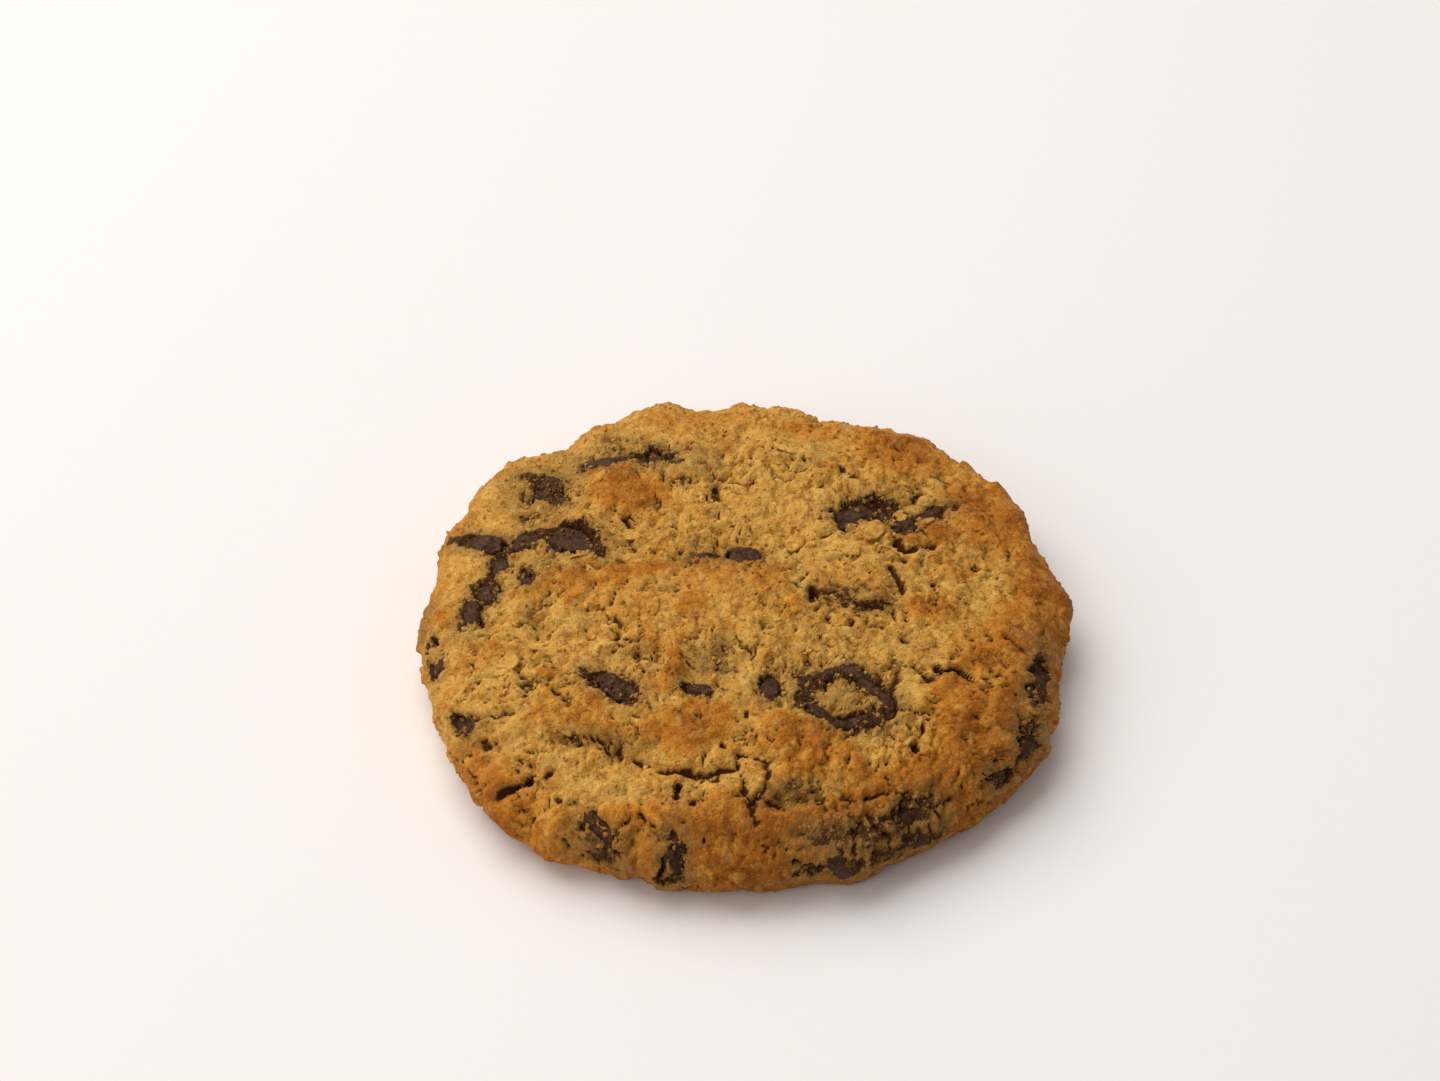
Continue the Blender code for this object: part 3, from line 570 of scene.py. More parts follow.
# Melted chocolate dragged through the dough along a line: half width, strength, then the line's points,
# at x and y in the top and at bearing and height in the rim.
SMEARS = {
    Zone.TOP: (
        (2.7, 0.72, ((-24, 25), (-20, 27.2), (-16, 27.6), (-11, 26.2))),
        (0.9, 0.9, ((-11, 24.8), (-9.4, 24.3))),
        (1.8, 0.95, ((-32.5, 25), (-30, 23), (-28.6, 20), (-27.4, 17.4))),
        (2, 0.5, ((-36, 22), (-33, 25.5), (-29, 27))),
        (1.6, 1, ((-34.2, 9.8), (-32, 11.6), (-29.6, 12.4), (-26.5, 11.2), (-23.4, 9), (-21, 5.6))),
        (1.3, 0.95, ((-43.2, 14.4), (-39.6, 12.6), (-36.6, 12), (-35, 9.8))),
        (1.2, 0.95, ((-36.2, 9.8), (-36, 6.6), (-36.9, 3.6))),
        (1.5, 0.95, ((-39.4, 2.8), (-36.4, -0.2))),
        (0.8, 0.9, ((-38.4, -1), (-39.2, -4), (-40.6, -7))),
        (0.8, 0.55, ((-44.9, -2), (-44.9, -6), (-43.4, -10.4))),
        (1.2, 0.8, ((-8.6, 3), (-5, 3.3), (-2, 3.6), (1.6, 3.9))),
        (1.5, 1, ((13.4, 12.4), (15, 14.9), (17.6, 16.4), (20.6, 16.3), (22.2, 14))),
        (1, 1, ((22.4, 14.5), (23.2, 11.6), (23.5, 9.4))),
        (0.8, 1, ((24.6, 12.6), (27, 14.9), (29.4, 16.5))),
        (0.5, 0.8, ((12.4, -4.2), (16, -5.3), (20.6, -4.6))),
        (1.8, 1, ((-22.3, -17.6), (-19, -19.6), (-15.9, -23))),
        (1.2, 1, ((-8.8, -21.2), (-5.2, -21.6))),
        (1.4, 0.85, ((3.2, -19.6), (3.2, -22.6))),
        (1.25, 0.9, ((14.6, -16), (17.6, -18.2), (20, -22.3), (18.2, -25.2), (14.6, -26.3))),
        (1.1, 0.95, ((14.6, -26.3), (10.8, -24.9), (7, -22.6), (10.8, -18.2), (14.6, -16))),
        (0.9, 0.9, ((6.6, -18), (7.6, -18.1))),
        (1.7, 0.72, ((42.4, -10), (41.4, -15), (39.2, -20))),
        (1.8, 0.68, ((39.6, -23), (38.6, -25.6))),
        (1.5, 0.7, ((36.3, -29.4), (34.6, -31.2))),
        (1.1, 0.7, ((-40.8, -20.6), (-39.6, -24.4))),
        (3, 0.7, ((8.5, -42.6), (13, -42.3), (17, -41.2), (21.5, -38.6), (25, -36))),
    ),
    Zone.RIM: (
        (2.2, 0.72, ((284, 6.5), (292, 6.8), (300, 6.2), (304, 5.4))),
        (2.2, 0.66, ((240, 9.5), (245, 7), (247, 5))),
        (1, 0.7, ((255, 10.5), (257.5, 7.5), (259, 4.5))),
    ),
}


@dataclass(frozen=True)
class PlateSet:
    """Rolled oats baked flat into the skin: how many, how long, how far they stand up and lean."""

    count: int
    lengths: Pair
    lift: Pair
    lean: float
    seed: int


@dataclass
class CrustFields:
    """What is known of each point of a patch of crust; every array is (n,)."""

    height: Array
    sink: Array
    brown: Array
    cocoa_and_shade: Array
    painted_shade: Array
    oat: Array


@dataclass
class Finder:
    """Finds the points near a place quickly, in points sorted along X."""

    points: Array

    def __post_init__(self) -> None:
        """Sorts the points once."""
        self.order = np.argsort(self.points[:, 0])
        self.sorted_x = self.points[self.order, 0]

    def within(self, low: Array, high: Array, margin: float) -> Array:
        """Indices of the points inside the box from low to high, grown by the margin."""
        first, last = np.searchsorted(self.sorted_x, (low[0] - margin, high[0] + margin))
        chosen = self.order[first:last]
        inside = (self.points[chosen] > low - margin) & (self.points[chosen] < high + margin)
        return chosen[inside.all(axis=1)]


@dataclass(frozen=True)
class Crust:
    """The relief of the baked surface with its pits, how browned and stained it is from place to place, and
    the shade painted in its creases, cracks and pits.
    """

    form: CookieForm
    lump_scales: tuple = ((16.0, 0.7), (7.0, 0.6), (3.6, 0.5))  # size and rise of smooth lumps
    grains: tuple = ((4.8, 0.7, 51), (2.3, 0.52, 52), (1.1, 0.32, 53))  # size, rise and seed
    clod_size: float = 3.0  # larger grains are clods, and smaller ones crumb
    nodules: tuple = (3.3, 0.95, 58)  # the same of the knobs that only the front wall has
    fine: tuple = (0.9, 0.16)  # size and rise of the finest relief
    plate_sets: tuple = (
        PlateSet(420, (3.2, 6.6), (-0.3, 0.5), 0.13, 61), PlateSet(900, (1.4, 3.0), (-0.3, 0.4), 0.22, 62)
    )
    # Size of the clods, half width and depth of the seams between them, and seed.
    seam_scales: tuple = ((6.4, 0.26, 1.0, 55), (3.8, 0.22, 0.85, 56), (2.3, 0.17, 0.7, 57))
    crack_wander: float = 0.45
    seam_wander: float = 1.1
    grain_wander: float = 0.3
    nodule_wander: float = 0.9
    pit_count: int = 110
    pit_seed: int = 5
    pit_radii: Pair = (0.22, 0.25)  # the least, and how much more the widest have
    pit_deeps: Pair = (0.5, 1.2)
    pit_slants: Pair = (1.0, 2.2)  # length over width
    plate_slims: Pair = (0.6, 0.95)  # width over length
    plate_dome: float = 0.12
    plate_fall: float = 2.4  # how steeply an oat ends
    plate_share: float = 0.4  # how much of the finest relief an oat carries
    ragged_edge: float = 0.55
    halo: float = 0.52  # stain of the dough beside a lump
    smear_halo: float = 1.8
    front: Pair = (30, 40)  # millimetres to the front between which the front wall begins
    shoulder: Pair = (0.6, 0.75)  # travel between which the wall begins
    shade_depths: Pair = (0.3, 1.25)  # depths between which a valley is painted dark as shade
    top_heights: Pair = (5.0, 9.0)  # heights between which the top's browning begins
    proud_reliefs: Pair = (0.4, 2.0)  # relief between which a mound browns
    proud_brown: float = 0.3
    wall_start: float = 0.68  # travel where the wall's browning begins, and how much sooner on the
    sooner: float = 0.09  # darker side
    wall_climb: float = 0.15
    wall_brown: Pair = (0.66, 0.36)  # its middle strength, and how it swings round
    foot_brown: float = 0.2
    pale_calms: tuple = (0.7, 0.55, 0.4, 0.6)  # less browning, stain, crumb and seams where it is pale
    rim_calms: tuple = (0.5, 0.6)  # less crumb and seams in the smooth rim behind
    front_adds: tuple = (0.45, 0.3)  # more clods and seams in the front wall
    foot_fade: float = 0.12

    def swell(self, points: Array, row: tuple) -> Array:
        """One mound or hollow: its rise times e to minus a power of the elliptical distance squared."""
        x, y, half_length, half_width, turn, rise = row
        across, aside, _ = self.form.frame(self.form.on_top(x, y), turn).flat(points)
        reach = (across / half_length) ** 2 + (aside / half_width) ** 2
        return rise * np.exp(-(reach**SWELL_POWER))

    def corners(self, line: tuple, zone: Zone) -> Array:
        """A line's corners on the form, from x and y on the top or from bearing and height in the rim."""
        place = self.form.on_top if zone is Zone.TOP else self.form.on_rim
        return np.array([self.form.frame(place(*corner), 0).origin for corner in line])

    def line_distance(self, points: Array, normals: Array, corners: Array) -> Three:
        """Distance from a line laid on the form, the side of it that a point is on, and a fade at its ends.

        Args:
            points: Places, (n, 3).
            normals: The form's normals there.
            corners: Corners of the line, (k, 3).

        Returns:
            The distance, +1 on the left and -1 on the right of the line's travel, and the fade.
        """
        nearest = np.full(len(points), np.inf)
        side = np.ones(len(points))
        run = np.zeros(len(points))
        start = 0.0
        for first, last in zip(corners, corners[1:]):
            length = float(np.linalg.norm(last - first))
            along = (last - first) / length
            away = points - first
            here = np.clip(away @ along, 0, length)
            gap = np.linalg.norm(away - here[:, None] * along, axis=1)
            closer = gap < nearest
            nearest = np.where(closer, gap, nearest)
            sign = np.sign(np.einsum("ij,ij->i", np.cross(along, away), normals))
            side = np.where(closer, sign, side)
            run = np.where(closer, start + here, run)
            start += length
        share = run / start
        return nearest, side, ease(np.minimum(share, 1 - share), 0.0, 0.2)

    def fold(self, points: Array, normals: Array, rise: float, line: tuple) -> Array:
        """A fold: a steep S-shaped front, an exponential fall behind it and a bell-shaped dip before it."""
        gap, side, ends = self.line_distance(points, normals, self.corners(line, Zone.TOP))
        signed = gap * side
        lip = 1 / (1 + np.exp(-np.clip(signed / (FOLD_LIP / 2), -60, 60)))
        behind = np.exp(-np.maximum(signed, 0) / FOLD_REACH)
        foot = bell((signed + FOLD_FOOT) / FOLD_FOOT)
        return rise * ends * (lip * behind - FOLD_DIP * foot)

    def large(self, points: Array, normals: Array) -> Array:
        """The large relief: mounds, hollows, folds and three sizes of smooth lumps."""
        height = np.zeros(len(points))
        for row in SWELLS:
            height += self.swell(points, row)
        for rise, line in FOLDS:
            height += self.fold(points, normals, rise, line)
        for number, (scale, rise) in enumerate(self.lump_scales):
            height += rise * smooth_noise(points, scale, number + 1)
        return height

    def cracks(self, points: Array, normals: Array) -> Array:
        """Depth of the cracks and pits, as bell-shaped valleys along wandering lines and round points."""
        wander = noise_vectors(layered_noise, points, 3.0, Seed.CRACK_WANDER, 2, 0.4)
        moved = points + wander * self.crack_wander
        varied = 1 + 0.55 * smooth_noise(points, 1.7, Seed.CRACK_WIDTH)
        finder = Finder(moved)
        depth = np.zeros(len(points))
        for half_width, deep, line in CRACKS:
            corners = self.corners(line, Zone.TOP)
            near = finder.within(corners.min(axis=0), corners.max(axis=0), 3.0)
            gap, _, ends = self.line_distance(moved[near], normals[near], corners)
            narrow = CRACK_WIDTH * half_width * varied[near]
            valley = CRACK_DEPTH * deep * bell(gap / narrow) * (0.25 + 0.75 * ends)
            depth[near] = np.maximum(depth[near], valley)
        draw = np.random.default_rng(self.pit_seed)
        for _ in range(self.pit_count):
            place = Place(draw.uniform(-math.pi, math.pi), math.sqrt(draw.uniform(0, 0.92)))
            least, more = self.pit_radii
            radius, deep = least + more * draw.uniform() ** 2, draw.uniform(*self.pit_deeps)
            local = self.form.frame(place, draw.uniform(0, 180))
            near = finder.within(local.origin, local.origin, 2.5)
            across, aside, above = local.flat(moved[near])
            gap = np.sqrt(across**2 + (aside * draw.uniform(*self.pit_slants)) ** 2 + (above * 0.3) ** 2)
            depth[near] = np.maximum(depth[near], deep * bell(gap / radius))
        return depth

    def seams(self, points: Array, brown: Array) -> Array:
        """Depth of the fine broken seams between the clods of dough.

        A seam is a bell-shaped valley where the nearest two random sites of warped space are equally far.
        Slow noise leaves seams out in places, and in browned skin more of them.
        """
        wander = noise_vectors(layered_noise, points, 2.8, Seed.SEAM_WANDER, 3, 0.6)
        moved = points + wander * self.seam_wander
        depth = np.zeros(len(points))
        for scale, half_width, deep, seed in self.seam_scales:
            roundness, _ = grain_noise(moved, scale, seed)
            gap = roundness / GRAIN_EDGE * scale / 2
            broken = layered_noise(points, 1.5 * scale, seed + 9, 3, 0.7) - 0.2 * brown
            width = half_width * (1 + 0.8 * smooth_noise(points, 1.4, seed + 12))
            depth = np.maximum(depth, deep * ease(broken, 0.02, 0.35) * bell(gap / width))
        return depth

    def plates(self, points: Array) -> tuple[Array, Array]:
        """The topmost rolled oat over each point.

        An oat is a plane that leans a little, inside a wavy ellipse; past the ellipse it falls steeply.

        Args:
            points: Places on the smooth form, (n, 3).

        Returns:
            Its height over the large relief, far below where there is none, and its own random number.
        """
        top = np.full(len(points), -9.0)
        owner = np.zeros(len(points))
        finder = Finder(points)
        for plates in self.plate_sets:
            draw = np.random.default_rng(plates.seed)
            for _ in range(plates.count):
                place = Place(draw.uniform(-math.pi, math.pi), math.sqrt(draw.uniform(0, 0.95)))
                local = self.form.frame(place, draw.uniform(0, 360))
                half = draw.uniform(*plates.lengths) / 2
                slim, lift = draw.uniform(*self.plate_slims), draw.uniform(*plates.lift)
                shade = draw.uniform()
                lean, waves = draw.normal(0, plates.lean, 2), draw.uniform(0, 2 * math.pi, 3)
                near = finder.within(local.origin, local.origin, half + 1.2)
                across, aside, _ = local.flat(points[near])
                angle = np.arctan2(aside, across)
                share = np.hypot(across / half, aside / (half * slim))
                share *= 1 + 0.07 * np.cos(2 * angle + waves[0]) + 0.08 * np.cos(3 * angle + waves[1])
                share *= 1 + 0.06 * np.cos(5 * angle + waves[2])
                fall = self.plate_fall * half * np.maximum(share - 1, 0)
                height = lift + lean[0] * across + lean[1] * aside - self.plate_dome * share**2 - fall
                higher = height > top[near]
                top[near] = np.where(higher, height, top[near])
                owner[near] = np.where(higher, shade, owner[near])
        return top, owner

    def browning(self, points: Array, travel: Array, relief: Array) -> Array:
        """How browned the skin is: browned patches, whatever stands up, and more down the wall."""
        brown = np.zeros(len(points))
        edge = layered_noise(points, 6.0, Seed.BROWN_EDGE, 4, 0.7)
        top = ease(points[:, 2], *self.top_heights)
        for *patch, strength in BROWNED:
            reach = np.maximum(oval(points, *patch) + 0.45 * edge, 0)
            brown = np.maximum(brown, strength * np.exp(-(reach**1.2)) * top)
        proud = self.proud_brown * ease(relief + 0.5 * edge, *self.proud_reliefs) * top
        facing = np.cos(np.arctan2(points[:, 1], points[:, 0]) - math.radians(DARKER_SIDE))
        start = self.wall_start - self.sooner * np.maximum(facing, 0)
        strength, swing = self.wall_brown
        wall = ease(travel, start, start + self.wall_climb) * (strength + swing * facing)
        wall = (wall + ease(travel, 0.84, 1.0) * self.foot_brown) * (1 + 0.35 * edge)
        return np.clip(np.maximum(np.maximum(brown, proud), wall), 0, 1)

    def paleness(self, points: Array) -> Array:
        """How pale the crumb is: elliptical patches with a ragged edge."""
        pale = np.zeros(len(points))
        edge = layered_noise(points, 3.0, Seed.PALE_EDGE, 3, 0.7)
        for *patch, strength in PALE:
            pale = np.maximum(pale, strength * np.exp(-np.maximum(oval(points, *patch) + 0.5 * edge, 0)))
        return pale

    def chocolate(self, points: Array, normals: Array) -> tuple[Array, Array]:
        """How far the dough sinks to show chocolate, and how stained it is, with shade painted along three
        fold creases.

        The dough gives way inside each lump's outline. Noise makes the edge ragged, and where cover is
        high it leaves islands of crumb on the chocolate.
        """
        ragged = layered_noise(points, 2.4, Seed.RAGGED, 5, 0.85) * self.ragged_edge
        islands = layered_noise(points, 1.9, Seed.ISLANDS, 3, 0.7)
        finder = Finder(points)
        sink = np.zeros(len(points))
        stain_and_crease_shade = np.zeros(len(points))
        for lump in LUMPS:
            local = lump.frame(self.form)
            near = finder.within(local.origin, local.origin, 14.0)
            share = lump.nearness(local, points[near])
            opening = ease(1.0 - share + ragged[near], 0.0, 0.3)
            bare = ease(islands[near], 1.5 * lump.cover - 0.95, 1.5 * lump.cover - 0.7)
            sink[near] = np.maximum(sink[near], opening * bare)
            size = min(lump.half_length, lump.half_width)
            if lump.shape is LumpShape.RING:
                size *= RING_BAND
            outside = np.maximum(share - 1, 0) * size
            around = self.halo * np.exp(-((outside / lump.smear) ** 1.5))
            melted = ease(1.2 - share + ragged[near], 0.0, 0.3) * (0.42 + 0.58 * bare)
            stain_and_crease_shade[near] = np.maximum(stain_and_crease_shade[near], np.maximum(around, melted))
        for zone, half_width, strength, line in ((zone, *row) for zone in SMEARS for row in SMEARS[zone]):
            corners = self.corners(line, zone)
            near = finder.within(corners.min(axis=0), corners.max(axis=0), 9.0)
            gap, _, ends = self.line_distance(points[near], normals[near], corners)
            width = half_width * (0.75 + 0.25 * ends)
            melted = strength * np.exp(-(np.maximum(gap / width + 0.8 * ragged[near], 0) ** 4))
            around = 0.5 * bell(gap / (width + self.smear_halo))
            stain_and_crease_shade[near] = np.maximum(stain_and_crease_shade[near], np.maximum(around, melted))
        for x, y, half_length, half_width, turn, strength in STAINS_AND_CREASE_SHADES:
            across, aside, above = self.form.frame(self.form.on_top(x, y), turn).flat(points)
            reach = (across / half_length) ** 2 + (aside / half_width) ** 2 + (above / 5) ** 2
            stain_and_crease_shade = np.maximum(stain_and_crease_shade, 0.9 * strength * np.exp(-np.maximum(reach + ragged, 0)))
        return sink, stain_and_crease_shade

    def fields(self, points: Array, normals: Array, travel: Array) -> CrustFields:
        """Everything about the crust at points of the smooth form.

        Args:
            points: Places on the smooth form, (n, 3).
            normals: The form's normals there.
            travel: Their travel, (n,).

        Returns:
            Height over the form, share of the sink under chocolate, browning, stain with painted shade
            along three fold creases, painted shade in cracks, seams and pits, and oats.
        """
        relief = self.large(points, normals)
        pale = self.paleness(points)
        brown_calm, stain_calm, crumb_calm, seam_calm = (share * pale for share in self.pale_calms)
        brown = self.browning(points, travel, relief) * (1 - brown_calm)
        sink, stain_and_crease_shade = self.chocolate(points, normals)
        stain_and_crease_shade = stain_and_crease_shade * (1 - stain_calm * (stain_and_crease_shade < 0.6))
        smooth_rim = ease(points[:, 1], -28, 5) * ease(travel, 0.6, 0.8)
        rim_crumb, rim_seams = (1 - share * smooth_rim for share in self.rim_calms)
        front_wall = ease(-points[:, 1], *self.front) * ease(travel, *self.shoulder)
        front_clods, front_seams = (1 + share * front_wall for share in self.front_adds)
        broken = ease(smooth_noise(points, 9.0, Seed.CRUMBLY), -0.5, 0.45)
        crumbly = (1 - 0.12 * brown) * (0.4 + 0.9 * broken) * (1 - crumb_calm)
        calm = (1 - 0.15 * brown) * rim_crumb * front_clods
        seams = self.seams(points, brown) * rim_seams * front_seams * (1 - seam_calm)
        depth = np.maximum(self.cracks(points, normals), seams)
        warp = noise_vectors(smooth_noise, points, 2.6, Seed.GRAIN_WANDER)
        grain = np.zeros(len(points))
        tone = np.zeros(len(points))
        for scale, rise, seed in self.grains:
            roundness, owner = grain_noise(points + warp * scale * self.grain_wander, scale, seed)
            part = rise * (np.sqrt(roundness) * (0.4 + 1.1 * owner) - 0.6)
            grain += part * (calm if scale > self.clod_size else crumbly * rim_crumb)
            tone += owner * ease(roundness, 0.05, 0.4) / len(self.grains)
        scale, rise, seed = self.nodules
        roundness, owner = grain_noise(points + warp * self.nodule_wander, scale, seed)
        grain += front_wall * rise * (np.sqrt(roundness) * (0.45 + 0.9 * owner) - 0.55)
        fine = layered_noise(points, self.fine[0], Seed.FINE, 2) * self.fine[1]
        top, owner = self.plates(points)
        rough = grain + fine
        flat = top + self.plate_share * fine
        height = relief + np.maximum(rough, flat) - depth
        oat = np.maximum(np.where(flat > rough, 0.25 + 0.75 * owner, tone), pale)
        foot = np.clip((1 - travel) / self.foot_fade, 0, 1)
        # Painted shade: the deeper a crack, seam or pit, the darker it is painted.
        painted_shade = ease(depth, *self.shade_depths)
        return CrustFields(height * foot, sink * foot, brown, np.clip(stain_and_crease_shade, 0, 1), painted_shade, oat)


# ------ meshes

def put(name: str, data: bpy.types.ID) -> Piece:
    """An object of this data, linked to the scene."""
    made = bpy.data.objects.new(name, data)
    bpy.context.scene.collection.objects.link(made)
    return made


@dataclass
class Surface:
    """A mesh before it is written: points in millimetres, faces, and one value a point for each mask."""

    points: Array
    faces: list
    masks: dict[str, Array] = field(default_factory=dict)

    def write(self, name: str, shift: Pair, material: Material) -> Piece:
        """Makes a smooth-shaded object of the surface, at the origin.

        Args:
            name: The object's name.
            shift: Where the form's middle goes, in plan.
            material: What it is made of.

        Returns:
            The object, linked to the scene.
        """
        mesh = bpy.data.meshes.new(name)
        mesh.vertices.add(len(self.points))
        placed = (self.points + np.array([*shift, 0.0])) * MM
        mesh.vertices.foreach_set("co", placed.astype(np.float32).ravel())
        corners = np.concatenate([part.ravel() for part in self.faces])
        sides = np.concatenate([np.full(len(part), part.shape[1]) for part in self.faces])
        starts = np.concatenate([[0], np.cumsum(sides)[:-1]])
        mesh.loops.add(len(corners))
        mesh.loops.foreach_set("vertex_index", corners.astype(np.int32))
        mesh.polygons.add(len(sides))
        mesh.polygons.foreach_set("loop_start", starts.astype(np.int32))
        for mask, values in self.masks.items():
            layer = mesh.attributes.new(mask, "FLOAT", "POINT")
            layer.data.foreach_set("value", np.clip(values, 0, 1).astype(np.float32))
        mesh.update(calc_edges=True)
        mesh.validate()
        mesh.shade_smooth()
        mesh.materials.append(material)
        return put(name, mesh)


def square_to_disc(count: int) -> tuple[Array, Array]:
    """A square grid laid on a disc, each square ring becoming a round one.

    The ring's number is the larger of the two coordinates, and the angle runs along the ring's side in
    proportion, an eighth of a turn from the side's middle to its corner.

    Args:
        count: Points along a side, an odd number.

    Returns:
        Radius from 0 to 1 and angle in radians, each (count, count).
    """
    a, b = np.meshgrid(np.linspace(-1, 1, count), np.linspace(-1, 1, count), indexing="ij")
    wide = np.abs(a) > np.abs(b)
    larger = np.where(wide, a, b)
    smaller = np.where(wide, b, a)
    safe = np.where(larger == 0, 1, larger)
    slant = (math.pi / 4) * smaller / safe
    angle = np.where(wide, slant, math.pi / 2 - slant) + np.where(larger < 0, math.pi, 0)
    return np.abs(larger), angle


def grid_faces(rows: int, columns: int) -> Array:
    """Quads of a grid whose points are numbered row by row."""
    index = np.arange(rows * columns).reshape(rows, columns)
    corners = (index[:-1, :-1], index[1:, :-1], index[1:, 1:], index[:-1, 1:])
    return np.stack([corner.ravel() for corner in corners], axis=1)


def ring_quads(index: Array) -> Array:
    """Quads between rings of points, from the points' numbers, (rings, columns)."""
    after = np.roll(index, -1, axis=1)
    return np.stack([index[:-1], index[1:], after[1:], after[:-1]], axis=-1).reshape(-1, 4)


def fan(middle: int, ring: Array) -> Array:
    """Triangles from a middle point to a ring."""
    return np.stack([np.full(len(ring), middle), ring, np.roll(ring, -1)], axis=1)


def border_indices(count: int) -> Array:
    """The grid points on the border of a square grid, in order round it, anticlockwise."""
    index = np.arange(count * count).reshape(count, count)
    sides = (index[:-1, 0], index[-1, :-1], index[:0:-1, -1], index[0, :0:-1])
    return np.concatenate(sides)


@dataclass
class Baked:
    """The dough's grid once it is baked: what the oats and crumbs are scattered on."""

    points: Array
    normals: Array
    fields: CrustFields
    clear: Array
    areas: Array


@dataclass
class Dough:
    """The dough: one closed surface whose top and wall are a grid, and whose underside is nested rings."""

    crust: Crust
    grid: int = 297
    sink_depth: float = 2.6
    under_rings: tuple = (0.985, 0.95, 0.9, 0.82, 0.72, 0.6, 0.45, 0.3, 0.15)
    under_hollow: float = 0.3
    crest: float = 18.9  # height above which the relief is pressed flatter
    crest_share: float = 0.55
    shaded_hollows: tuple = ((1, 0.12, 0.6, 0.4), (2, 0.25, 0.9, 0.35))  # reach, least and most depth, and strength of the painted shade
    valley_reach: int = 7
    open_sink: float = 0.2  # dough that sinks less than this can carry oats and crumbs

    def bake(self) -> Baked:
        """Works out the crust on the grid: the smooth form plus the relief along its normals."""
        radius, angle = square_to_disc(self.grid)
        bearing, travel = angle.ravel(), radius.ravel()
        form = self.crust.form
        smooth = form.points(bearing, travel)
        normals = form.normals(bearing, travel)
        known = self.crust.fields(smooth, normals, travel)
        height = known.height - known.sink * self.sink_depth
        points = smooth + normals * height[:, None]
        points[:, 2] -= (1 - self.crest_share) * np.maximum(points[:, 2] - self.crest, 0)
        points[:, 2] = np.maximum(points[:, 2], FLOOR_GAP)
        shape = (self.grid, self.grid)
        plain = known.height.reshape(shape)
        # Painted shade: small hollows, lower than the mean of their neighbours, are painted darker.
        for reach, low, high, strength in self.shaded_hollows:
            hollow = (boxed_mean(plain, reach) - plain).ravel()
            known.painted_shade = np.clip(known.painted_shade + ease(hollow, low, high) * strength, 0, 1)
        # Painted shade: broad valleys, lower than the mean of a wider square, take up to 0.4 of the
        # grey-olive stain colour.
        valley = (boxed_mean(plain, self.valley_reach) - plain).ravel()
        known.cocoa_and_shade = np.maximum(known.cocoa_and_shade, 0.4 * ease(valley, 0.35, 1.6))
        known.brown = known.brown + 0.5 * ease(-valley, 0.1, 1.2) - 0.3 * ease(valley, 0.1, 1.0)
        known.brown = np.clip(known.brown, 0, 1)
        soft = boxed_mean(points.reshape(*shape, 3), 2, 1)
        steps = np.gradient(soft, axis=0), np.gradient(soft, axis=1)
        cross = np.cross(steps[0], steps[1]).reshape(-1, 3)
        areas = np.linalg.norm(cross, axis=1)
        facing = cross / areas[:, None]
        return Baked(points, facing, known, known.sink < self.open_sink, areas)

    def surface(self, baked: Baked) -> Surface:
        """Closes the grid with an underside: its border repeated at shrinking shares, then a middle point.

        Inside its edge the underside is a little hollow in places, where smooth noise is high.
        """
        count = self.grid
        border = border_indices(count)
        rim = baked.points[border] * np.array([1, 1, 0])
        rings = [rim * share for share in self.under_rings]
        base = np.concatenate([*rings, np.zeros((1, 3))])
        share = np.append(np.repeat(self.under_rings, len(border)), 0.0)
        uneven = layered_noise(base, 7.0, Seed.UNDERSIDE, 3)
        base[:, 2] = self.under_hollow * ease(uneven, -0.2, 0.6) * ease(share, 0.985, 0.9)
        points = np.concatenate([baked.points, base])
        below = count * count + np.arange(len(rings) * len(border)).reshape(len(rings), -1)
        closing = fan(len(points) - 1, below[-1])[:, [1, 0, 2]]
        faces = [grid_faces(count, count), ring_quads(np.vstack([border, below])), closing]
        known = baked.fields
        masks = {
            "brown": np.concatenate([known.brown, 0.8 - 0.25 * uneven]),
            "cocoa_and_shade": np.concatenate([known.cocoa_and_shade, np.zeros(len(base))]),
            # Painted shade on the underside, deeper where it rises into a hollow.
            "painted_shade": np.concatenate([known.painted_shade, 0.16 + 0.16 * uneven]),
            "oat": np.concatenate([known.oat, np.full(len(base), 0.3)]),
        }
        return Surface(points, faces, masks)

    def build(self, baked: Baked, material: Material) -> Piece:
        """Makes the dough piece, which stands for the dough solid."""
        made = self.surface(baked).write("dough_crust", self.crust.form.shift, material)
        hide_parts("cookie_dough")
        return made


# ------ oats and crumbs

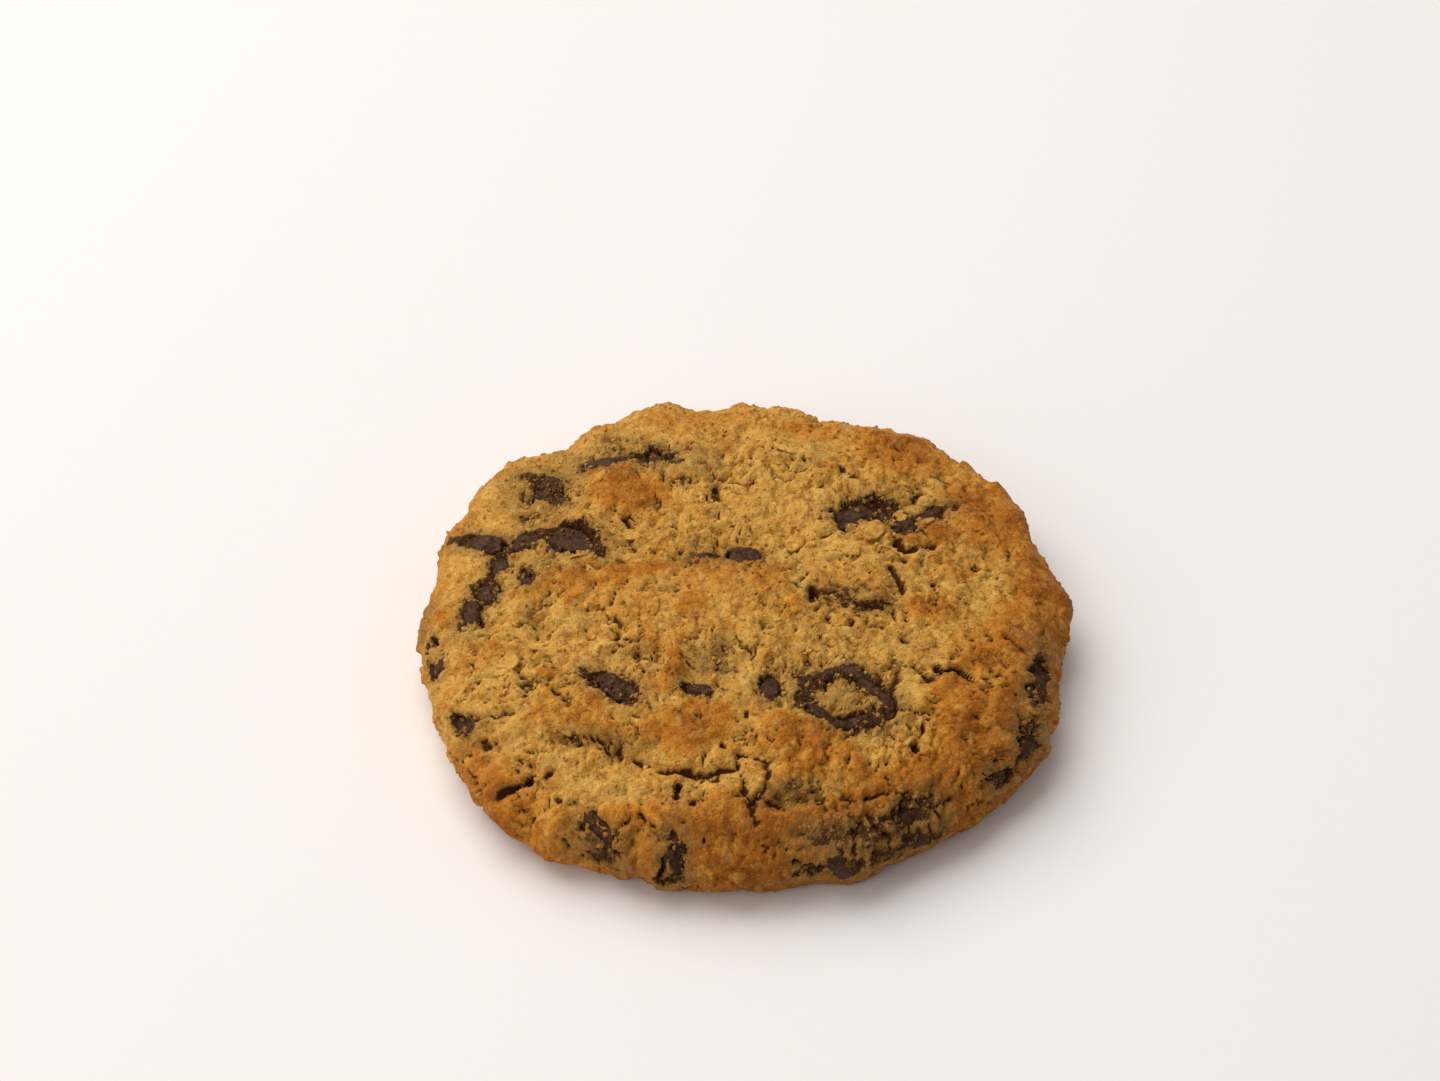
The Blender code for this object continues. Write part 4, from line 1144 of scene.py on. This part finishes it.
@dataclass
class Scatter:
    """Shared by what is scattered on the crust: seeded places and the frames to lay pieces in."""

    baked: Baked
    seed: int
    name: str = ""
    count: int = 0
    sizes: Pair = (0.1, 0.55)

    def choose(self, count: int, wish: Array, draw: np.random.Generator) -> Array:
        """Picks grid points with a chance in proportion to their area times the wish."""
        weight = self.baked.areas * wish
        return draw.choice(len(weight), count, replace=False, p=weight / weight.sum())

    def axes(self, chosen: Array, draw: np.random.Generator, tilt: float) -> Three:
        """Random axes for each chosen point: the normal tipped by up to the tilt, and two across it."""
        normal = self.baked.normals[chosen]
        normal = normal + draw.normal(0, math.radians(tilt), normal.shape)
        normal /= np.linalg.norm(normal, axis=1, keepdims=True)
        random = draw.normal(size=normal.shape)
        along = np.cross(normal, random)
        along /= np.linalg.norm(along, axis=1, keepdims=True)
        return along, np.cross(normal, along), normal

    def lay(self, middle: Array, axes: Three, local: Array) -> Array:
        """Points of copies, (copies, corners, 3), from each copy's middle, its axes and its own points."""
        return middle[:, None, :] + sum(local[..., k : k + 1] * axes[k][:, None] for k in range(3))

    def sized(self, power: float, draw: np.random.Generator) -> Array:
        """Sizes from the least to the most, the higher the power the more of them small."""
        low, high = self.sizes
        return low + (high - low) * draw.uniform(0, 1, self.count) ** power

    def merge(self, shapes: Array, faces: Array, brown: Array, cocoa_and_shade: Array, oat: Array) -> Surface:
        """One surface of many copies.

        Args:
            shapes: Points of every copy, (copies, corners, 3).
            faces: Triangles of one copy.
            brown: How browned each copy is, (copies,).
            cocoa_and_shade: How stained each copy is, including the painted valley and crease shade of the
                crust under it.
            oat: How pale and oaty each copy is.

        Returns:
            The surface, with the tints of each copy on all its points.
        """
        copies, corners, _ = shapes.shape
        offsets = np.arange(copies)[:, None, None] * corners
        tints = {"brown": brown, "cocoa_and_shade": cocoa_and_shade, "painted_shade": np.zeros(copies), "oat": oat}
        masks = {name: np.repeat(values, corners) for name, values in tints.items()}
        points = np.maximum(shapes, np.array([-np.inf, -np.inf, FLOOR_GAP])).reshape(-1, 3)
        return Surface(points, [(faces[None] + offsets).reshape(-1, 3)], masks)


def ball_template() -> tuple[Array, Array]:
    """The twelve corners and twenty triangles of an icosahedron of radius 1.

    The corners are (0, +-1, +-golden ratio) and its turns; a triangle joins three corners that are all
    one edge apart, wound so that it faces out.
    """
    golden = (1 + math.sqrt(5)) / 2
    signs = np.array([(a, b) for a in (-1, 1) for b in (-1, 1)], float)
    flat = np.stack([np.zeros(4), signs[:, 0], signs[:, 1] * golden], axis=1)
    corners = np.concatenate([flat, np.roll(flat, 1, axis=1), np.roll(flat, 2, axis=1)])
    gaps = np.linalg.norm(corners[:, None] - corners[None], axis=2)
    near = np.isclose(gaps, 2.0)
    triples = [
        (i, j, k)
        for i in range(12) for j in range(i + 1, 12) for k in range(j + 1, 12)
        if near[i, j] and near[j, k] and near[i, k]
    ]
    faces = np.array(triples)
    a, b, c = (corners[faces[:, k]] for k in range(3))
    inward = np.einsum("ij,ij->i", np.cross(b - a, c - a), a) < 0
    faces[inward] = faces[inward][:, ::-1]
    return corners / np.linalg.norm(corners[0]), faces


def flake_template(segments: int) -> tuple[Array, Array]:
    """A rolled oat: a thin disc with a rounded edge, from a profile of radius and height turned round.

    Args:
        segments: Steps round it.

    Returns:
        Points as radius, angle and height on a disc of radius and half thickness 1, and triangles.
    """
    profile = np.array([(0.45, 1.0), (0.82, 0.92), (0.99, 0.35), (0.97, -0.4), (0.7, -1.0)])
    angle = np.arange(segments) * (2 * math.pi / segments)
    rings = [
        np.stack([np.full(segments, radius), angle, np.full(segments, height)], axis=1)
        for radius, height in profile
    ]
    points = np.concatenate([np.array([[0.0, 0.0, 1.0]]), *rings, np.array([[0.0, 0.0, -1.0]])])
    index = 1 + np.arange(len(profile) * segments).reshape(len(profile), segments)
    bands = ring_quads(index)
    base = fan(len(points) - 1, index[-1])[:, [0, 2, 1]]
    return points, np.concatenate([fan(0, index[0]), bands[:, [0, 1, 2]], bands[:, [0, 2, 3]], base])


@dataclass
class OatFlakes(Scatter):
    """Rolled oats that lie in the crust, whole ones and broken ones. Those shown are at x, y, this long."""

    name: str = "rolled_oats"
    count: int = 48
    sizes: Pair = (2.4, 5.2)
    segments: int = 18
    slimness: Pair = (0.5, 0.85)
    thickness: float = 0.18
    proud: Pair = (-0.34, -0.06)
    shown: tuple = (
        (27, -10.5, 5), (-6.5, 7.5, 5.8), (6.5, 29, 5.4), (3, 27, 4.6), (34, 14, 5), (18.5, 30.5, 6),
        (-31.5, 3, 5), (-38, 22, 5.4), (25.6, 12.6, 3.6), (39.4, -20.6, 3.4), (-38.6, -27, 3),
        (-22, 20.6, 3.6),
    )

    def surface(self) -> Surface:
        """Lays the flakes: a disc with a wavy outline, a crease along its length and a slight cup."""
        draw = np.random.default_rng(self.seed)
        known = self.baked.fields
        wish = self.baked.clear * (1.15 - 0.75 * known.brown) * (1 - known.painted_shade) * (known.cocoa_and_shade < 0.5)
        wish = wish * ease(self.baked.points[:, 2], 3.0, 6.0)
        chosen = self.choose(self.count, wish, draw)
        length = draw.uniform(*self.sizes, self.count) * 0.5
        low_down = (self.baked.points[:, 2] < 8) * FAR_AWAY**2
        for number, (x, y, size) in enumerate(self.shown):
            gap = np.hypot(self.baked.points[:, 0] - x, self.baked.points[:, 1] - y) + low_down
            chosen[number], length[number] = int(np.argmin(gap)), size / 2
        length *= 0.45 + 0.55 * ease(self.baked.points[chosen, 2], 7.0, 13.0)
        axes = self.axes(chosen, draw, 5.0)
        template, faces = flake_template(self.segments)
        radius, angle, level = template.T
        width = length * draw.uniform(*self.slimness, self.count)
        waves = draw.uniform(0, 2 * math.pi, (self.count, 3, 1))
        wobble = 1 + 0.06 * np.cos(2 * angle + waves[:, 0]) + 0.07 * np.cos(3 * angle + waves[:, 1])
        wobble = wobble + 0.045 * np.cos(5 * angle + waves[:, 2])
        flat_x = radius * np.cos(angle) * wobble
        flat_y = radius * np.sin(angle) * wobble
        crease = -0.3 * np.exp(-((flat_y / 0.16) ** 2)) * (level > 0.5) * (1 - radius**2)
        cup = draw.uniform(-0.14, 0.06, (self.count, 1)) * radius**2 * length[:, None]
        lift = draw.uniform(*self.proud, self.count)[:, None]
        up = (level + crease) * self.thickness + cup + lift
        local = np.stack([flat_x * length[:, None], flat_y * width[:, None], up], axis=-1)
        shapes = self.lay(self.baked.points[chosen], axes, local)
        oat = draw.uniform(0.3, 0.85, self.count)
        return self.merge(shapes, faces, 0.75 * known.brown[chosen], 0.6 * known.cocoa_and_shade[chosen], oat)


@dataclass
class Crumbs(Scatter):
    """Small crumbs and grains of dough that stand on the crust."""

    name: str = "crumbs"
    count: int = 5500
    sizes: Pair = (0.12, 0.55)
    flatness: Pair = (0.45, 0.9)
    jitter: float = 0.16

    def surface(self) -> Surface:
        """Lays the crumbs: balls squeezed along three axes, their corners moved at random."""
        draw = np.random.default_rng(self.seed)
        known = self.baked.fields
        beside = (known.cocoa_and_shade > 0.35) & self.baked.clear
        wish = (1.02 - known.brown) * (0.25 + self.baked.clear) + 2.0 * beside
        height = self.baked.points[:, 2]
        wish = wish * (0.15 + 0.85 * ease(height, 6.0, 13.0)) * (height > 2)
        chosen = self.choose(self.count, wish, draw)
        axes = self.axes(chosen, draw, 25.0)
        template, faces = ball_template()
        size = self.sized(2.2, draw)
        squeeze = draw.uniform(*self.flatness, (self.count, 2))
        corners = template[None] + draw.normal(0, self.jitter, (self.count, 12, 3))
        middle = self.baked.points[chosen] - axes[2] * (size * draw.uniform(0.0, 0.6, self.count))[:, None]
        corners[..., 1:] *= squeeze[:, None]
        shapes = self.lay(middle, axes, corners * size[:, None, None])
        oat = draw.uniform(0.2, 0.9, self.count)
        return self.merge(shapes, faces, known.brown[chosen], 0.65 * known.cocoa_and_shade[chosen], oat)


# ------ chocolate

@dataclass
class ChocolateDust(Scatter):
    """Crumbs of dough stuck to the chocolate, on the faces that look out of the crust."""

    name: str = "crumbs_on_chocolate"
    count: int = 640
    jitter: float = 0.28

    def surface(self, lumps: list[tuple[Array, Array]]) -> Surface:
        """Lays the crumbs on points of the lumps.

        Args:
            lumps: Points and outward normals of each lump.

        Returns:
            The crumbs as one surface.
        """
        draw = np.random.default_rng(self.seed)
        points = np.concatenate([part for part, _ in lumps])
        normals = np.concatenate([part for _, part in lumps])
        clumps = ease(layered_noise(points, 2.2, Seed.DUST, 3), 0.0, 0.5) ** 2
        shares = [
            np.full(len(part), (0.3 + lump.cover) * np.linalg.norm(np.ptp(part, axis=0)) / len(part))
            for lump, (part, _) in zip(LUMPS, lumps)
        ]
        wish = clumps * np.concatenate(shares)
        chosen = draw.choice(len(points), self.count, p=wish / wish.sum())
        template, faces = ball_template()
        size = self.sized(2.6, draw)
        corners = template[None] + draw.normal(0, self.jitter, (self.count, 12, 3))
        corners *= draw.uniform(0.35, 1.1, (self.count, 1, 3))
        middle = points[chosen] + normals[chosen] * (size * draw.uniform(0.0, 0.5, self.count))[:, None]
        shapes = middle[:, None, :] + corners * size[:, None, None]
        tints = draw.uniform((0.0, 0.45, 0.2), (0.2, 0.8, 1.0), (self.count, 3))
        return self.merge(shapes, faces, *tints.T)


@dataclass
class ChocolateLumps:
    """The lumps of chocolate that show, each a closed surface in the place of its solid."""

    crust: Crust
    rings: int = 40
    columns: int = 56
    proud_top: float = -0.1
    proud_rim: float = -0.3
    depth_share: float = 0.85
    least_depth: float = 1.3
    blockiness: float = 0.72
    spare: float = 0.3  # how far a block reaches past its half sizes, under the crust
    swells: Pair = (0.19, 0.13)  # broad and fine unevenness of a block
    ring_grid: tuple[int, int] = (120, 24)
    ring_swell: float = 0.3
    outer_share: float = 0.55

    def crown(self, lump: Lump) -> LocalFrame:
        """The lump's axes, with the origin at its crown on the large relief."""
        local = lump.frame(self.crust.form)
        spot = local.origin[None]
        rise = self.crust.large(spot, local.normal[None])[0]
        proud = self.proud_top if lump.zone is Zone.TOP else self.proud_rim
        origin = local.origin + local.normal * (rise + proud + lump.lift)
        return LocalFrame(origin, local.along, local.aside, local.normal)

    def block(self, lump: Lump, seed: int) -> Surface:
        """A melted block: a globe of rings and columns pushed towards a box, then roughened.

        Each coordinate of the unit ball is raised to a power under 1, keeping its sign, which squares
        the ball, and noise along the radius makes its faces uneven.
        """
        polar = np.linspace(0, math.pi, self.rings + 1)[1:-1]
        turn = np.arange(self.columns) * (2 * math.pi / self.columns)
        up, round_angle = np.meshgrid(polar, turn, indexing="ij")
        ball = np.stack(
            [np.sin(up) * np.cos(round_angle), np.sin(up) * np.sin(round_angle), np.cos(up)], axis=-1
        ).reshape(-1, 3)
        ball = np.concatenate([ball, [[0, 0, 1.0], [0, 0, -1.0]]])
        boxy = np.sign(ball) * np.abs(ball) ** self.blockiness
        broad, fine = self.swells
        boxy *= 1 + broad * smooth_noise(ball * 10 + seed * 7, 6.0, seed)[:, None]
        boxy *= 1 + fine * layered_noise(ball * 10 + seed * 5, 3.2, seed + 40, 4, 0.7)[:, None]
        local = self.crown(lump)
        depth = max(lump.half_width, self.least_depth) * self.depth_share
        points = local.origin - local.normal * depth + (
            boxy[:, :1] * (lump.half_length + self.spare) * local.along
            + boxy[:, 1:2] * (lump.half_width + self.spare) * local.aside
            + boxy[:, 2:] * depth * local.normal
        )
        rows = len(polar)
        index = np.arange(rows * self.columns).reshape(rows, self.columns)
        top = fan(len(ball) - 2, index[0])
        base = fan(len(ball) - 1, index[-1])[:, [0, 2, 1]]
        return Surface(points, [ring_quads(index), top, base])

    def ring(self, lump: Lump, seed: int) -> Surface:
        """A melted ring: a small circle carried round a stretched one that swells towards four corners."""
        around, across = self.ring_grid
        big = np.arange(around) * (2 * math.pi / around)
        small = np.arange(across) * (2 * math.pi / across)
        big, small = (part.ravel() for part in np.meshgrid(big, small, indexing="ij"))
        radius = 1 + RING_TUBE * 0.9 * np.cos(small)
        corner = 1 + RING_CORNER * np.cos(4 * big)
        shape = np.stack([np.cos(big) * radius, np.sin(big) * radius, np.sin(small)], axis=1)
        rough = 1 + self.ring_swell * layered_noise(shape * 10, 4.0, seed, 4, 0.7)
        local = self.crown(lump)
        points = local.origin + (
            (shape[:, 0] * corner * lump.half_length)[:, None] * local.along
            + (shape[:, 1] * corner * lump.half_width)[:, None] * local.aside
            + ((shape[:, 2] * rough - 1) * RING_THICKNESS)[:, None] * local.normal
        )
        index = np.arange(around * across).reshape(around, across)
        return Surface(points, [ring_quads(np.vstack([index, index[:1]]))])

    def surfaces(self) -> list[Surface]:
        """The surface of every lump, in the order of LUMPS."""
        shapes = {LumpShape.BLOCK: self.block, LumpShape.RING: self.ring}
        return [shapes[lump.shape](lump, number + 1) for number, lump in enumerate(LUMPS)]

    def open_faces(self, surfaces: list[Surface]) -> list[tuple[Array, Array]]:
        """For each lump, the points that look out of the crust, and the crust's outward direction there."""
        found = []
        for lump, surface in zip(LUMPS, surfaces):
            local = self.crown(lump)
            _, _, above = local.flat(surface.points)
            size = max(lump.half_width, self.least_depth) * self.depth_share
            outer = surface.points[above > -self.outer_share * size]
            found.append((outer, np.broadcast_to(local.normal, outer.shape)))
        return found

    def build(self, surfaces: list[Surface], material: Material) -> list[Piece]:
        """Makes one piece for each lump, which stands for that lump's solid."""
        made = []
        for lump, surface in zip(LUMPS, surfaces):
            name = lump.node.replace("chocolate", "melted_chocolate")
            piece = surface.write(name, self.crust.form.shift, material)
            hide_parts(lump.node)
            made.append(piece)
        return made


# ------ finishes

GRAIN_WAVE = 1.6  # size of the noise that moves grains about, and how far, as shares of a grain
GRAIN_PUSH = 1.2
SPECULAR = 0.2


@dataclass
class NodeTree:
    """Adds shader nodes to a material and links them. Sizes are millimetres."""

    material: Material

    def add(self, kind: str, inputs: dict | None = None, **settings: object) -> bpy.types.ShaderNode:
        """A node of this kind with its settings made and its inputs linked to sockets or set to values."""
        node = self.material.node_tree.nodes.new("ShaderNode" + kind)
        for name, value in settings.items():
            setattr(node, name, value)
        for key, value in (inputs or {}).items():
            self.feed(value, node.inputs[key])
        return node

    def feed(self, value: object, target: Socket) -> None:
        """Links a socket to another, or sets it to a value."""
        if isinstance(value, Socket):
            self.material.node_tree.links.new(value, target)
        else:
            target.default_value = value

    def mask(self, name: str) -> Socket:
        """The piece's own mask of this name."""
        return self.add("Attribute", attribute_name=name).outputs["Fac"]

    def noise(self, size: float, detail: float, roughness: float = 0.7) -> Socket:
        """Noise on Object coordinates with bumps this far across."""
        place = self.add("TexCoord").outputs["Object"]
        inputs = {"Scale": 1 / (size * MM), "Detail": detail, "Roughness": roughness, "Vector": place}
        return self.add("TexNoise", inputs).outputs["Fac"]

    def grains(self, size: float) -> tuple[Socket, Socket]:
        """Grains this far across: the distance from a grain's middle, and its random tone."""
        place = self.add("TexCoord").outputs["Object"]
        waver = self.add("TexNoise", {"Scale": 1 / (size * GRAIN_WAVE * MM), "Vector": place})
        push = (size * GRAIN_PUSH * MM,) * 3
        inputs = {0: waver.outputs["Color"], 1: push, 2: place}
        moved = self.add("VectorMath", inputs, operation="MULTIPLY_ADD").outputs[0]
        node = self.add("TexVoronoi", {"Scale": 1 / (size * MM), "Vector": moved})
        tone = self.add("SeparateColor", {"Color": node.outputs["Color"]})
        return node.outputs["Distance"], tone.outputs["Red"]

    def remap(self, source: Socket, low: float, high: float, most: float = 1, least: float = 0) -> Socket:
        """The source's stretch from low to high spread from least to most, clamped."""
        inputs = dict(enumerate((source, low, high, least, most)))
        return self.add("MapRange", inputs, clamp=True).outputs["Result"]

    def shifted(self, name: str, noise: Socket, share: float) -> Socket:
        """A mask moved up and down by noise about its middle, so that a later remap has a ragged edge."""
        lowered = self.add("Math", {0: self.mask(name), 1: share / 2}, operation="SUBTRACT").outputs[0]
        return self.add("Math", {0: noise, 1: share, 2: lowered}, operation="MULTIPLY_ADD").outputs[0]

    def blend(self, first: Socket, second: Socket) -> Socket:
        """The mean of two values."""
        return self.add("Mix", {"Factor": 0.5, 2: first, 3: second}, data_type="FLOAT").outputs[0]

    def times(self, first: Socket, second: Socket) -> Socket:
        """Two values multiplied."""
        return self.add("Math", {0: first, 1: second}, operation="MULTIPLY").outputs[0]

    def paint(self, under: Colour, layers: tuple) -> Socket:
        """Colours laid over one another: each layer is how much of it covers, and its colour."""
        colour = (*under, 1.0)
        for share, over in layers:
            inputs = {"Factor": share, 6: colour, 7: (*over, 1.0)}
            colour = self.add("Mix", inputs, data_type="RGBA").outputs[2]
        return colour

    def bumps(self, layers: tuple) -> Socket:
        """Fine relief on fine relief: each layer is a height, a distance and a strength."""
        inputs = {}
        for height, distance, strength in layers:
            inputs |= {"Height": height, "Distance": distance * MM, "Strength": strength}
            inputs["Normal"] = self.add("Bump", inputs).outputs["Normal"]
        return inputs["Normal"]


def srgb(red: int, green: int, blue: int) -> Colour:
    """A screen colour from 0 to 255 as the linear colour that shaders take."""
    shares = np.array([red, green, blue]) / 255
    linear = np.where(shares <= 0.04045, shares / 12.92, ((shares + 0.055) / 1.055) ** 2.4)
    return tuple(float(part) for part in linear)


@dataclass(frozen=True)
class Finish:
    """What the finishes share: a rough, slightly tinted surface with painted colour and bumps."""

    name: str = ""
    roughness: float = 0.5
    sheen_tint: Colour = (1.0, 1.0, 1.0)

    def paint(self, tree: NodeTree) -> tuple[Socket, Socket]:
        """The finish's colour and its fine relief."""
        raise NotImplementedError

    def material(self) -> Material:
        """Builds the material."""
        made = bpy.data.materials.new(self.name)
        made.use_nodes = True
        tree = NodeTree(made)
        colour, relief = self.paint(tree)
        shader = made.node_tree.nodes["Principled BSDF"]
        settings = {
            "Base Color": colour, "Normal": relief, "Roughness": self.roughness,
            "Specular IOR Level": SPECULAR, "Specular Tint": (*self.sheen_tint, 1.0),
        }
        for name, value in settings.items():
            tree.feed(value, shader.inputs[name])
        return made


@dataclass(frozen=True)
class CrustFinish(Finish):
    """Baked oat dough: tan crumb, orange-brown skin, grey-olive stains by the chocolate, the same
    grey-olive painted as shade in valleys and creases, and dark painted shade in pits and cracks.
    """

    name: str = "baked_oat_dough"
    roughness: float = 0.68
    sheen_tint: Colour = (1.0, 0.85, 0.6)
    pale: Colour = srgb(218, 171, 84)
    tan: Colour = srgb(189, 136, 60)
    golden: Colour = srgb(211, 144, 46)
    olive: Colour = srgb(158, 122, 60)
    amber: Colour = srgb(195, 123, 34)
    browned: Colour = srgb(158, 90, 20)
    toasted: Colour = srgb(114, 59, 10)
    stained_and_shaded: Colour = srgb(142, 108, 56)
    melted: Colour = srgb(64, 35, 16)
    painted_shade_brown: Colour = srgb(72, 35, 8)
    oat: Colour = srgb(224, 179, 92)

    def paint(self, tree: NodeTree) -> tuple[Socket, Socket]:
        """The colour, from crumb to skin to stains and painted valley shade to specks to painted shade in
        pits, and four sizes of fine relief.
        """
        remap, noise, shifted = tree.remap, tree.noise, tree.shifted
        broad, middle, fine = noise(3.2, 5.0), noise(1.2, 4.0), noise(0.45, 3.0)
        uneven = tree.blend(broad, middle)
        grain, random = tree.grains(1.15)
        small, speck = tree.grains(0.62)
        layers = (
            (remap(noise(2.3, 3.0, 0.6), 0.4, 0.62), self.golden),
            (remap(middle, 0.42, 0.66), self.pale),
            (remap(noise(4.6, 5.0, 0.65), 0.5, 0.66, 0.5), self.amber),
            (remap(noise(1.9, 4.0), 0.54, 0.68, 0.55), self.amber),
            (remap(noise(2.7, 4.0), 0.45, 0.33, 0.5), self.olive),
            (tree.times(remap(tree.mask("oat"), 0.35, 0.95), remap(fine, 0.3, 0.65, 1.0, 0.5)), self.oat),
            (tree.times(remap(speck, 0.72, 0.9), remap(fine, 0.65, 0.35)), self.oat),
            (remap(shifted("brown", uneven, 1.5), 0.16, 0.55), self.amber),
            (remap(shifted("brown", uneven, 1.7), 0.5, 1.0), self.browned),
            (remap(shifted("brown", middle, 1.3), 0.9, 1.3, 0.8), self.toasted),
            (remap(random, 0.62, 0.95, 0.3), self.pale),
            (remap(random, 0.3, 0.05, 0.22), self.browned),
            (tree.times(remap(speck, 0.25, 0.06, 0.6), remap(fine, 0.35, 0.6)), self.browned),
            # The grey-olive stain colour, also painted as shade in broad valleys and along fold creases.
            (remap(shifted("cocoa_and_shade", middle, 0.9), 0.12, 0.6, 0.85), self.stained_and_shaded),
            (remap(shifted("cocoa_and_shade", middle, 0.8), 0.6, 0.72), self.melted),
            (remap(fine, 0.57, 0.69, 0.65), self.toasted),
            (remap(grain, 0.6, 0.95, 0.3), self.toasted),
            (remap(small, 0.65, 0.95, 0.2), self.toasted),
            (remap(fine, 0.43, 0.31, 0.42), self.pale),
            # Painted shade in cracks, seams, pits and small hollows.
            (remap(shifted("painted_shade", fine, 0.5), 0.15, 0.75), self.painted_shade_brown),
        )
        lumpy, gritty = (remap(part, 0.1, 0.9, 0.0, 1.0) for part in (grain, small))
        relief = ((middle, 0.45, 0.6), (lumpy, 0.3, 0.35), (gritty, 0.25, 0.35), (fine, 0.28, 1.0))
        return tree.paint(self.tan, layers), tree.bumps(relief)


@dataclass(frozen=True)
class ChocolateFinish(Finish):
    """Dark chocolate that melted and set: satin, with a pale bloom and crumb dust."""

    name: str = "dark_chocolate"
    roughness: float = 0.45
    sheen_tint: Colour = (1.0, 0.72, 0.52)
    dark: Colour = srgb(50, 26, 15)
    bloom: Colour = srgb(82, 52, 34)
    dust: Colour = srgb(142, 112, 78)

    def paint(self, tree: NodeTree) -> tuple[Socket, Socket]:
        """Bloom in broad patches, dust in fine specks, and three sizes of fine relief."""
        broad, fine = tree.noise(2.0, 4.0), tree.noise(0.4, 3.0)
        chip, random = tree.grains(1.3)
        layers = (
            (tree.remap(broad, 0.4, 0.7), self.bloom),
            (tree.remap(random, 0.7, 0.95, 0.6), self.bloom),
            (tree.remap(fine, 0.6, 0.7, 0.7), self.dust),
        )
        relief = ((broad, 0.5, 0.7), (tree.remap(chip, 0.1, 0.9, 0.0, 1.0), 0.5, 0.6), (fine, 0.15, 0.6))
        return tree.paint(self.dark, layers), tree.bumps(relief)


# ------ studio

@dataclass(frozen=True)
class Studio:
    """The pale floor, the soft light and the camera."""

    middle: tuple[float, float, float] = (-0.25, 0.15, 8.0)
    elevation: float = 45.0
    distance: float = 450.0
    lens: float = 77.8
    sensor: float = 36.0
    picture: tuple[int, int] = (1440, 1081)
    middle_pixel: Pair = (746.0, 620.0)
    floor_colour: Colour = srgb(238, 233, 230)
    floor_half: float = 1500.0
    # Name, place in metres, size, power and colour of each light.
    lights: tuple = (
        ("key", (-0.42, 0.4, 1.0), 1.2, 13.6, (1.0, 0.98, 0.95)),
        ("left", (-0.85, -0.6, 0.6), 0.9, 3.6, (1.0, 0.98, 0.96)),
    )
    sky_colour: Colour = (1.0, 0.98, 0.96)
    sky_power: float = 0.34

    def place_camera(self) -> None:
        """Sets the camera on its sight line, aimed so that the cookie's middle falls on its pixel."""
        rise = math.radians(self.elevation)
        back = Vector((0.0, -math.cos(rise), math.sin(rise)))
        up = Vector((0.0, math.sin(rise), math.cos(rise)))
        focal = self.lens / self.sensor * self.picture[0]
        side_step = (self.picture[0] / 2 - self.middle_pixel[0]) / focal * self.distance
        up_step = (self.middle_pixel[1] - self.picture[1] / 2) / focal * self.distance
        aim = Vector(self.middle) + Vector((1.0, 0.0, 0.0)) * side_step + up * up_step
        camera = bpy.data.cameras.new("camera")
        camera.lens = self.lens
        camera.sensor_width = self.sensor
        camera.clip_start = 0.01
        camera.dof.use_dof = False
        holder = put("camera", camera)
        holder.location = (aim + back * self.distance) * MM
        holder.rotation_euler = back.to_track_quat("Z", "Y").to_euler()
        bpy.context.scene.camera = holder

    def add_light(self, name: str, place: tuple[float, float, float], size: float, power: float,
                  colour: Colour) -> None:
        """A square soft light at a place in metres, aimed at the cookie."""
        light = bpy.data.lights.new(name, "AREA")
        light.size = size
        light.energy = power
        light.color = colour
        holder = put(name, light)
        holder.location = place
        holder.rotation_euler = Vector(place).to_track_quat("Z", "Y").to_euler()

    def make_floor(self) -> None:
        """A plain pale floor, one flat grid."""
        side = np.linspace(-self.floor_half, self.floor_half, 3)
        x, y = (part.ravel() for part in np.meshgrid(side, side, indexing="ij"))
        material = bpy.data.materials.new("pale_floor")
        material.use_nodes = True
        shader = material.node_tree.nodes["Principled BSDF"]
        shader.inputs["Base Color"].default_value = (*self.floor_colour, 1.0)
        shader.inputs["Roughness"].default_value = 0.8
        points = np.stack([x, y, np.zeros_like(x)], axis=1)
        Surface(points, [grid_faces(3, 3)]).write("floor", (0.0, 0.0), material)

    def build(self) -> None:
        """Makes the whole studio."""
        self.place_camera()
        self.make_floor()
        for row in self.lights:
            self.add_light(*row)
        world = bpy.data.worlds.new("soft_room")
        world.use_nodes = True
        sky = world.node_tree.nodes["Background"]
        sky.inputs["Color"].default_value = (*self.sky_colour, 1.0)
        sky.inputs["Strength"].default_value = self.sky_power
        bpy.context.scene.world = world
        bpy.context.scene.view_settings.view_transform = "Standard"


def main() -> None:
    """Builds the cookie piece by piece, then the studio round it."""
    logging.basicConfig(level=logging.INFO, format="%(name)s: %(message)s")
    crust = Crust(CookieForm())
    dough_material = CrustFinish().material()
    chocolate_material = ChocolateFinish().material()
    dough = Dough(crust)
    baked = dough.bake()
    pieces = [dough.build(baked, dough_material)]
    for scatter in (OatFlakes(baked, 21), Crumbs(baked, 22)):
        pieces.append(scatter.surface().write(scatter.name, crust.form.shift, dough_material))
    maker = ChocolateLumps(crust)
    shapes = maker.surfaces()
    lumps = maker.build(shapes, chocolate_material)
    dust = ChocolateDust(baked, 23)
    dusted = dust.surface(maker.open_faces(shapes)).write(dust.name, crust.form.shift, dough_material)
    pieces.append(dusted)
    for piece in pieces + lumps:
        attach(piece, ROOT)
        log.info("%s: %d faces", piece.name, len(piece.data.polygons))
    Studio().build()


if __name__ == "__main__":
    main()
